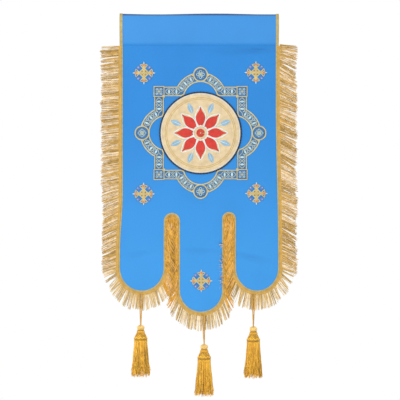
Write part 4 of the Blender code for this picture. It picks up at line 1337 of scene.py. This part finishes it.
class BANNER_OT_frame(bpy.types.Operator):
    """Embroider the frame: edge lines, crossing waves, corner squares and roundels"""

    bl_idname = "banner.frame"
    bl_label = "Ornamental frame"

    def execute(self, context):
        colours = context.scene.banner_colours
        sizes = context.scene.banner_sizes
        ground = stitched_material("band ground", colours.ground)
        cream = satin_material("cream satin stitch", colours.cream, 900.0)
        white = satin_material("white satin stitch", colours.white, 60.0)
        knot = satin_material("knot satin stitch", colours.knot, 60.0)
        gold = satin_material("gold satin stitch", colours.gold, 20.0, 0.45, 0.2)
        outer, inner = mirrored_round(frame_edge(True, 0.0)), mirrored_round(frame_edge(False, 0.0))
        patch = add_patch("ornament_ground", [outer, inner], ground)
        half = sizes.edge_thread / 2
        edges = [mirrored_round(frame_edge(True, half)), mirrored_round(frame_edge(False, half))]
        edge = add_stitching("ornament_edges", edges, sizes.edge_thread, cream, 0.0012, closed=True)
        near, far = FRAME_HALF_SIDE - FRAME_CORNER / 2 + half, FRAME_HALF_SIDE + FRAME_CORNER / 2 - half
        square = [(near, near), (near, far), (far, far), (far, near)]
        ring = circle((0.0, ROUNDEL_OFFSET), ROUNDEL_RADIUS - half, 0.0, 360.0, 40)[:-1]
        frames = turned([square, ring])
        extra = add_stitching("ornament_rings", frames, sizes.edge_thread, cream, 0.0013, closed=True)
        foot = math.degrees(math.asin((FRAME_HALF_SIDE - LOBE_OFFSET) / LOBE_RADIUS))
        straight_end = LOBE_RADIUS * math.cos(math.radians(foot))
        straight = [(near - 2 * half, FRAME_HALF_SIDE), (straight_end, FRAME_HALF_SIDE)]
        lobe = circle((0.0, LOBE_OFFSET), LOBE_RADIUS, foot, 71.0, 30)
        waves, almonds, curls = [], [], []
        for line, lenses in ((straight, 2), (lobe, 3)):
            for drawn, new in zip((waves, almonds, curls), wave_band(line, lenses, WAVE_SWING)):
                drawn.extend(new)
        wave = add_stitching("ornament_waves", turned(mirrored(waves)), sizes.wave_thread, knot, 0.0011)
        almond = add_stitching("ornament_almonds", turned(mirrored(almonds)), 0.0066, white, 0.0012)
        curl = add_stitching("ornament_curls", turned(mirrored(curls)), 0.0018, white, 0.0009)
        loops = []
        for number in range(4):
            angle = math.radians(90 * number)
            centre = (0.0090 * math.cos(angle), ROUNDEL_OFFSET + 0.0090 * math.sin(angle))
            loops.append(circle(centre, 0.0040, 0.0, 360.0, 16))
            angle = math.radians(45 + 90 * number)
            centre = (FRAME_HALF_SIDE + 0.0098 * math.cos(angle), FRAME_HALF_SIDE + 0.0098 * math.sin(angle))
            loops.append(circle(centre, 0.0028, 0.0, 360.0, 12))
        loop = add_stitching("ornament_loops", turned(loops), 0.0019, white, 0.0012)
        bars = []
        middles = ((FRAME_HALF_SIDE, FRAME_HALF_SIDE), (0.0, ROUNDEL_OFFSET))
        for turn in (0, 45, 90, 135):
            across, up = math.cos(math.radians(turn)), math.sin(math.radians(turn))
            reaches = (0.0045, 0.0145) if turn % 90 else (0.0110, 0.0045)
            for (x, z), reach in zip(middles, reaches):
                bars.append([
                    (x + share * reach * across, z + share * reach * up, 1.0 - 0.4 * abs(share))
                    for share in (-1.0, -0.5, 0.0, 0.5, 1.0)
                ])
        bar = add_stitching("ornament_bars", turned(bars), sizes.wave_thread, knot, 0.0010)
        touches = [[(near + off, near + off, wide) for off, wide in CORNER_TOUCH]]
        for sign in (-1, 1):
            touches.append([(sign * x, ROUNDEL_OFFSET + z, wide) for x, z, wide in ROUNDEL_TOUCH])
        touch = add_stitching("ornament_touches", turned(touches), 0.0048, gold, 0.0014)
        for piece in (patch, edge, extra, wave, almond, curl, loop, bar, touch):
            ride_on(piece, "embroidery", "ornament_frame")
        return {"FINISHED"}


class BANNER_OT_crosses(bpy.types.Operator):
    """Embroider the five small crosses"""

    bl_idname = "banner.crosses"
    bl_label = "Crosses"

    def execute(self, context):
        colours = context.scene.banner_colours
        kinds = (("cream", colours.cream, 14.0), ("pale", colours.white, 14.0), ("rust", colours.rust, 6.0),
                 ("brown", colours.brown, 6.0), ("lavender", colours.lavender, 6.0))
        threads = {name: satin_material(f"cross {name} thread", tone, turns) for name, tone, turns in kinds}
        threads["gold"] = satin_material("cross gold thread", colours.gold, 14.0, 0.45, 0.1)
        # Darker copy of the cloth's blue for the stitched ground behind each cross: partly its own tone, partly
        # painted shade round the raised embroidery.
        threads["halo"] = stitched_material("cross ground", lighter(colours.cloth, 0.88)[:3])
        for name, x, z in CROSSES:
            self.add_cross(name, (x, z), threads)
        return {"FINISHED"}

    def add_cross(self, node, centre, threads):
        """One cross: a laced gold middle, flared arms with pale tips, and lavender petals between them."""
        # Ground under the cross: partly painted shade round the raised stitching.
        halo = []
        for number in range(72):
            turn = math.radians(5 * number)
            reach = 0.0258 + 0.0014 * math.cos(4 * turn)
            halo.append((centre[0] + reach * math.sin(turn), centre[1] + reach * math.cos(turn)))
        pieces = [add_patch(node + "_ground", [halo], threads["halo"])]
        for row in CROSS_ROWS:
            lines = [[(x / 1000, z / 1000, *wide) for x, z, *wide in line] for line in row.lines]
            if row.mirror:
                lines = mirrored(lines)
            stitches = turned(lines, row.copies, centre)
            pieces.append(add_stitching(
                node + "_" + row.word, stitches, row.width / 1000, threads[row.thread], row.height / 1000))
        cross = join_pieces(node + "_stitching", pieces)
        ride_on(cross, "embroidery", node)


# Medallion


def ray(turn, reach, across):
    """Place at a distance along and beside a ray, which points up and turns clockwise in degrees."""
    right, up = math.sin(math.radians(turn)), math.cos(math.radians(turn))
    return right * reach + up * across, up * reach - right * across


def petal_fullness(u):
    """Share of a petal's width at a place along it: full past its middle, and nothing at its tip."""
    return math.sin(math.pi * min(1.0, 0.14 + 0.86 * u))


class BANNER_OT_medallion(bpy.types.Operator):
    """Build the round medallion with its rosette, and the navy cord round it"""

    bl_idname = "banner.medallion"
    bl_label = "Medallion"

    def execute(self, context):
        colours = context.scene.banner_colours
        field = stitched_material("medallion field", colours.field, 0.6, 500.0, 0.12)
        round_edge = circle(ORNAMENT_CENTRE, MEDALLION_RADIUS, 0.0, 360.0, 96)[:-1]
        disc = add_patch("medallion_field", [round_edge], field, MEDALLION_THICKNESS, 0.030)
        apply_modifier(disc, "BEVEL", width=0.0006, segments=2, limit_method="ANGLE")
        ride_on(disc, "medallion", "medallion")
        on_top = MEDALLION_THICKNESS
        threads = {
            "white": satin_material("medallion white thread", paler(colours.white, 0.35), 40.0),
            "ring": satin_material("medallion gold thread", colours.gold, 300.0, 0.5, 0.2),
            "red": satin_material("rosette red thread", colours.red, 12.0),
            "leaf": satin_material("rosette leaf thread", colours.leaf, 12.0),
        }
        pieces = []
        for name, radii, width, thread in (
            ("medallion_white_ring", (0.1290,), 0.0016, "white"),
            ("medallion_gold_rings", (0.1165, 0.1115), 0.0018, "ring"),
        ):
            rings = turned([circle((0.0, 0.0), radius, 0.0, 360.0, 96)[:-1] for radius in radii], 1)
            pieces.append(add_stitching(name, rings, width, threads[thread], 0.0010, on_top, closed=True))
        pieces += self.add_rosette(threads, on_top)
        for piece in pieces:
            ride_on(piece, "medallion", "medallion")
        cord = self.add_rim_cord(colours)
        ride_on(cord, "navy_cord", "medallion_cord")
        return {"FINISHED"}

    def add_rosette(self, threads, on_top):
        """Generic eight-petal rosette with a scalloped band and a slender leaf between each two petals."""
        petals, outlines, leaves, veins = [], [], [], []
        for turn in range(0, 360, 45):
            for spread in (-1.0, -2 / 3, -1 / 3, 0.0, 1 / 3, 2 / 3, 1.0):
                long = 0.061 - 0.009 * abs(spread)
                petals.append([
                    (*ray(turn, 0.025 + long * u, PETAL_HALF_WIDTH * 0.86 * spread * petal_fullness(u)),
                     0.5 + 0.6 * math.sin(math.pi * u))
                    for u in PETAL_STEPS
                ])
            for sign in (-1, 1):
                outlines.append([
                    (*ray(turn, 0.0245 + 0.0655 * u, sign * PETAL_HALF_WIDTH * 1.18 * petal_fullness(u)), 1.0)
                    for u in PETAL_STEPS
                ])
            middle = turn + 22.5
            for sign in (-1, 0, 1):
                leaves.append([
                    (*ray(middle, 0.069 + 0.037 * u, sign * 0.0050 * math.sin(math.pi * u)),
                     0.3 + 0.8 * math.sin(math.pi * u))
                    for u in PETAL_STEPS
                ])
            vein = ((0.052, 0.6), (0.080, 1.0), (0.104, 0.5))
            veins.append([(*ray(middle, reach, 0.0), wide) for reach, wide in vein])
        scallops = []
        for number in range(16):
            turn = 22.5 * number
            scallops.append(circle(ray(turn, 0.0205, 0.0), 0.0040, 90 - turn - 105, 90 - turn + 105, 10))
        heart = [circle((0.0, 0.0), radius, 0.0, 350.0, 30) for radius in (0.004, 0.008, 0.012)]
        rows = (
            ("petals", petals, 0.0056, "red", 0.0016), ("outlines", outlines, 0.0034, "white", 0.0016),
            ("leaves", leaves, 0.0062, "leaf", 0.0013), ("veins", veins, 0.0020, "white", 0.0019),
            ("scallops", scallops, 0.0034, "white", 0.0018), ("heart", heart, 0.0036, "red", 0.0018),
        )
        return [
            add_stitching("rosette_" + word, turned(lines, 1), width, threads[thread], height, on_top)
            for word, lines, width, thread, height in rows
        ]

    def add_rim_cord(self, colours):
        """Two navy plies laid round each other, sewn round the medallion."""
        plies = []
        for ply in range(2):
            line = []
            for step in range(RIM_CORD_STEPS):
                turn = 2 * math.pi * step / RIM_CORD_STEPS
                twist = RIM_CORD_TURNS * turn + math.pi * ply
                reach = RIM_CORD_RADIUS + RIM_CORD_SHIFT + RIM_PLY_OFFSET * math.cos(twist)
                depth = CLOTH_FRONT - LAYER_GAP - RIM_CORD_DIAMETER / 2 + RIM_PLY_OFFSET * math.sin(twist)
                line.append((ORNAMENT_CENTRE[0] + reach * math.cos(turn), depth,
                             ORNAMENT_CENTRE[1] + reach * math.sin(turn)))
            plies.append(line)
        thread = thread_material("navy cord thread", colours.navy, 500.0, 0.6, 0.0, slant=1.0)
        return draw_tubes("medallion_rim_cord", plies, RIM_PLY, [thread], sides=1, closed=True)


# Tassels and cords


def tassel_axis(row):
    """Middle line of a tassel as (x, y)."""
    return row.x, HANGER_Y + drape(row.x, row.leg_top)


def on_head(row, turn, depth, out):
    """Place on a tassel's head, or straight below its foot, at a turn, a depth and a distance outside."""
    x, y = tassel_axis(row)
    reach = TASSEL_PROFILE[-1][1]
    for (upper, upper_radius), (lower, lower_radius) in zip(TASSEL_PROFILE, TASSEL_PROFILE[1:]):
        if upper <= depth <= lower:
            reach = upper_radius + (lower_radius - upper_radius) * (depth - upper) / (lower - upper)
    return x + (reach + out) * math.cos(turn), y + (reach + out) * math.sin(turn), row.top - depth


class BANNER_OT_tassels(bpy.types.Operator):
    """Build the three tassels: turned heads with netted threads, and skirts of single strands"""

    bl_idname = "banner.tassels"
    bl_label = "Tassels"

    def execute(self, context):
        colours = context.scene.banner_colours
        tone = colours.tassel
        # Lit and shaded copies of the one tassel thread: the pale one is a painted highlight and the deep one
        # painted shade. Strewn at random over the strands, they also give the thread an uneven tone.
        threads = [
            thread_material("tassel thread " + name, lighter(tone, factor)[:3], 60.0, 0.42, 0.15, slant=1.0,
                            groove_shade=0.3)
            for name, factor in (("pale", 1.4), ("usual", 1.0), ("deep", 0.58))
        ]
        pale = thread_material("tassel pale gold thread", colours.pale_gold, 40.0, 0.42, 0.1, slant=1.0)
        for number, row in enumerate(TASSELS):
            head = self.add_head(row, threads)
            net = self.add_net(row, threads)
            bands = self.add_bands(row, pale, threads[0])
            thickness = context.scene.banner_sizes.skirt_strand
            skirt = self.add_skirt(row, threads, random.Random(31 + number), thickness)
            tassel = join_pieces("tassel_" + row.name + "_dressed", [skirt, net, bands, head])
            ride_on(tassel, "tassel", "tassel_" + row.name)
        return {"FINISHED"}

    def add_head(self, row, threads):
        """Head spun from its profile, with a core that the skirt hides."""
        x, y = tassel_axis(row)
        profile = [(x + 0.0005, y, row.top)]
        profile += [(x + radius, y, row.top - depth) for depth, radius in TASSEL_PROFILE + TASSEL_CORE]
        head = draw_curve("head", [profile])
        head = to_mesh(head)
        pick(head)
        bpy.ops.object.mode_set(mode="EDIT")
        bpy.ops.mesh.select_all(action="SELECT")
        bpy.ops.mesh.spin(steps=40, angle=2 * math.pi, center=(x, y, 0.0), axis=(0.0, 0.0, 1.0))
        bpy.ops.mesh.select_all(action="SELECT")
        bpy.ops.mesh.remove_doubles(threshold=0.000012)
        bpy.ops.mesh.fill_holes(sides=0)
        bpy.ops.object.mode_set(mode="OBJECT")
        finish_mesh(head, 60.0)
        head.data.materials.clear()
        # The head's own surface takes the deep copy: painted shade where it shows between the threads laid over
        # it.
        head.data.materials.append(threads[2])
        return head

    def add_net(self, row, threads):
        """Threads that cross on the cone, and rows of loops that hang from its foot over the skirt."""
        lines = []
        for sign in (1, -1):
            for number in range(16):
                start = 2 * math.pi * number / 16
                lines.append([
                    (*on_head(row, start + sign * 0.95 * step / 9, 0.0245 + 0.0150 * step / 9, 0.0005), 1.2)
                    for step in range(10)
                ])
        for number in range(36):
            start = 2 * math.pi * (number + 0.3) / 36
            depths = (0.0405, 0.0425, 0.0445, 0.0465)
            lines.append([(*on_head(row, start, depth, 0.0004), 1.2) for depth in depths])
        shades = any_shades(random.Random(7), lines)
        for depth, out, shade in HEAD_RINGS:
            lines.append([(*on_head(row, 2 * math.pi * step / 40, depth, out), 1.5) for step in range(41)])
            shades.append(shade)
        return draw_tubes("net", lines, 0.0013, threads, shades=shades)

    def add_bands(self, row, pale, soft):
        """Pale threads: the wound ball, the scallops round the foot of the cone and the loops below it."""
        lines = []
        for number in range(BALL_THREADS):
            start = 2 * math.pi * number / BALL_THREADS
            lines.append([
                (*on_head(row, start + 0.9 * step / 10, 0.0006 + 0.0150 * step / 10, -0.0004),
                 1.2 + 1.5 * math.sin(math.pi * step / 10))
                for step in range(11)
            ])
        for rounds, top, drop, out in HEAD_SCALLOPS:
            for number in range(rounds):
                start = 2 * math.pi * number / rounds
                loop = []
                for step in range(9):
                    u = step / 8
                    turn = start + 2 * math.pi / rounds * (u - 0.5)
                    loop.append((*on_head(row, turn, top + drop * math.sin(math.pi * u), out), 1.2))
                lines.append(loop)
        shades = [0 if number < BALL_THREADS else 1 for number in range(len(lines))]
        return draw_tubes("bands", lines, 0.0014, [pale, soft], sides=1, shades=shades)

    def add_skirt(self, row, threads, chance, thickness):
        """Skirt strands that widen and end unevenly."""
        x, y = tassel_axis(row)
        lines = []
        shades = []
        for number in range(SKIRT_STRANDS):
            shades.append(chance.choice((0, 1, 1, 2)))
            turn = 4 * math.pi * number / SKIRT_STRANDS + chance.uniform(-0.03, 0.03)
            inner = number % 2
            start = 0.0198 - 0.0018 * inner
            wide = chance.triangular(0.0225, 0.0310, 0.0275) - 0.002 * inner
            long = 0.1180 * chance.triangular(0.82, 1.03, 0.99)
            start_turn = chance.uniform(0, 6.28)
            sway = chance.gauss(0.0, 0.09)
            flick = chance.choice((0.0, 0.0, 0.0016, 0.0034))
            line = []
            for step in range(11):
                u = step / 10
                waver = 0.0012 * u * math.sin(start_turn + 9 * u)
                reach = start + (wide - start) * u ** 0.9 + waver + flick * u ** 5
                angle = turn + sway * u + 0.060 * math.sin(start_turn * 2 + 14 * u) * min(1.0, 2.5 * u)
                place = (x + reach * math.cos(angle), y + reach * math.sin(angle), row.top - 0.0490 - long * u)
                line.append((*place, 1.15 - 0.3 * u))
            lines.append(line)
        return draw_tubes("skirt", lines, thickness, threads, shades=shades)


class BANNER_OT_hangers(bpy.types.Operator):
    """Hang each tassel on two legs of twisted cord"""

    bl_idname = "banner.hangers"
    bl_label = "Hanging cords"

    def execute(self, context):
        colours = context.scene.banner_colours
        tone = lighter(colours.tassel, 0.78)[:3]
        thread = thread_material("hanging cord thread", tone, 90.0, 0.45, 0.1, slant=1.0)
        for row in TASSELS:
            x, y = tassel_axis(row)
            for leg in ("a", "b"):
                top_x = row.leg_a_x if leg == "a" else row.leg_b_x
                foot_x = x - HANGER_FOOT_SPREAD if leg == "a" else x + HANGER_FOOT_SPREAD
                top, foot = Vector((top_x, y, row.leg_top)), Vector((foot_x, y, row.top + 0.0003))
                route = []
                for step in HANGER_STEPS:
                    depth = step.depth_a if leg == "a" else step.depth_b
                    route.append(top.lerp(foot, step.share) + Vector((0.0, depth, 0.0)))
                if leg == "a":
                    for down, back in HANGER_CORE:
                        route.append(Vector((x, y + back, row.top - down)))
                self.add_cord(row, leg, route, thread)
        return {"FINISHED"}

    def add_cord(self, row, leg, route, thread):
        """One leg as two plies twisted round its route."""
        centre = smooth_route(route, HANGER_SPACING)
        plies = []
        for ply in range(2):
            line = []
            for step, place in enumerate(centre):
                twist = 2 * math.pi * step * HANGER_SPACING / HANGER_LAY + math.pi * ply
                across, deep = HANGER_PLY_OFFSET * math.cos(twist), HANGER_PLY_OFFSET * math.sin(twist)
                line.append((place.x + across, place.y + deep, place.z))
            plies.append(line)
        cord = draw_tubes("hanging_cord_" + row.name + "_" + leg, plies, HANGER_PLY, [thread], sides=1)
        ride_on(cord, "cord", "hanger_" + row.name + "_" + leg)
        length = sum((second - first).length for first, second in zip(centre, centre[1:]))
        if leg == "a":
            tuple(centre[0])
        else:
            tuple(centre[0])


def smooth_route(route, spacing):
    """Points at an even spacing on a smooth curve through a route."""
    ends = [route[0] * 2 - route[1]] + route + [route[-1] * 2 - route[-2]]
    dense = []
    for index in range(1, len(ends) - 2):
        before, first, second, after = ends[index - 1:index + 3]
        for step in range(24):
            u = step / 24
            bend = (2 * before - 5 * first + 4 * second - after) * u * u
            twist = (3 * first - before - 3 * second + after) * u * u * u
            dense.append((2 * first + (second - before) * u + bend + twist) / 2)
    dense.append(route[-1])
    travelled = [0.0]
    for first, second in zip(dense, dense[1:]):
        travelled.append(travelled[-1] + (second - first).length)
    count = max(2, round(travelled[-1] / spacing))
    points = []
    cursor = 0
    for step in range(count + 1):
        target = travelled[-1] * step / count
        while cursor < len(dense) - 2 and travelled[cursor + 1] < target:
            cursor += 1
        share = (target - travelled[cursor]) / (travelled[cursor + 1] - travelled[cursor])
        points.append(dense[cursor].lerp(dense[cursor + 1], share))
    return points


class BANNER_PT_pieces(bpy.types.Panel):
    """Sidebar panel that lists the banner's pieces"""

    bl_label = "Church Banner"
    bl_idname = "BANNER_PT_pieces"
    bl_space_type = "VIEW_3D"
    bl_region_type = "UI"
    bl_category = "Banner"

    def draw(self, context):
        for operator in OPERATORS:
            self.layout.operator(operator.bl_idname)
        for group in (context.scene.banner_colours, context.scene.banner_sizes):
            for name in group.__annotations__:
                self.layout.prop(group, name)


OPERATORS = (
    BANNER_OT_stage,
    BANNER_OT_tassels,
    BANNER_OT_hangers,
    BANNER_OT_binding,
    BANNER_OT_fringe,
    BANNER_OT_frame,
    BANNER_OT_crosses,
    BANNER_OT_medallion,
    BANNER_OT_cloth,
)
CLASSES = (BannerColours, BannerSizes, *OPERATORS, BANNER_PT_pieces)


def register():
    """Register the classes and the banner's settings."""
    for cls in CLASSES:
        bpy.utils.register_class(cls)
    bpy.types.Scene.banner_colours = bpy.props.PointerProperty(type=BannerColours)
    bpy.types.Scene.banner_sizes = bpy.props.PointerProperty(type=BannerSizes)


def unregister():
    """Remove the settings and the classes."""
    del bpy.types.Scene.banner_sizes
    del bpy.types.Scene.banner_colours
    for cls in reversed(CLASSES):
        bpy.utils.unregister_class(cls)


def build_banner():
    """Build every piece in order."""
    register()
    for operator in OPERATORS:
        group, name = operator.bl_idname.split(".")
        getattr(getattr(bpy.ops, group), name)()
    deselect_all()
    sizes = [[list(corner) for corner in box] for box in (CAD_BOX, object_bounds())]


if __name__ == "__main__":
    build_banner()
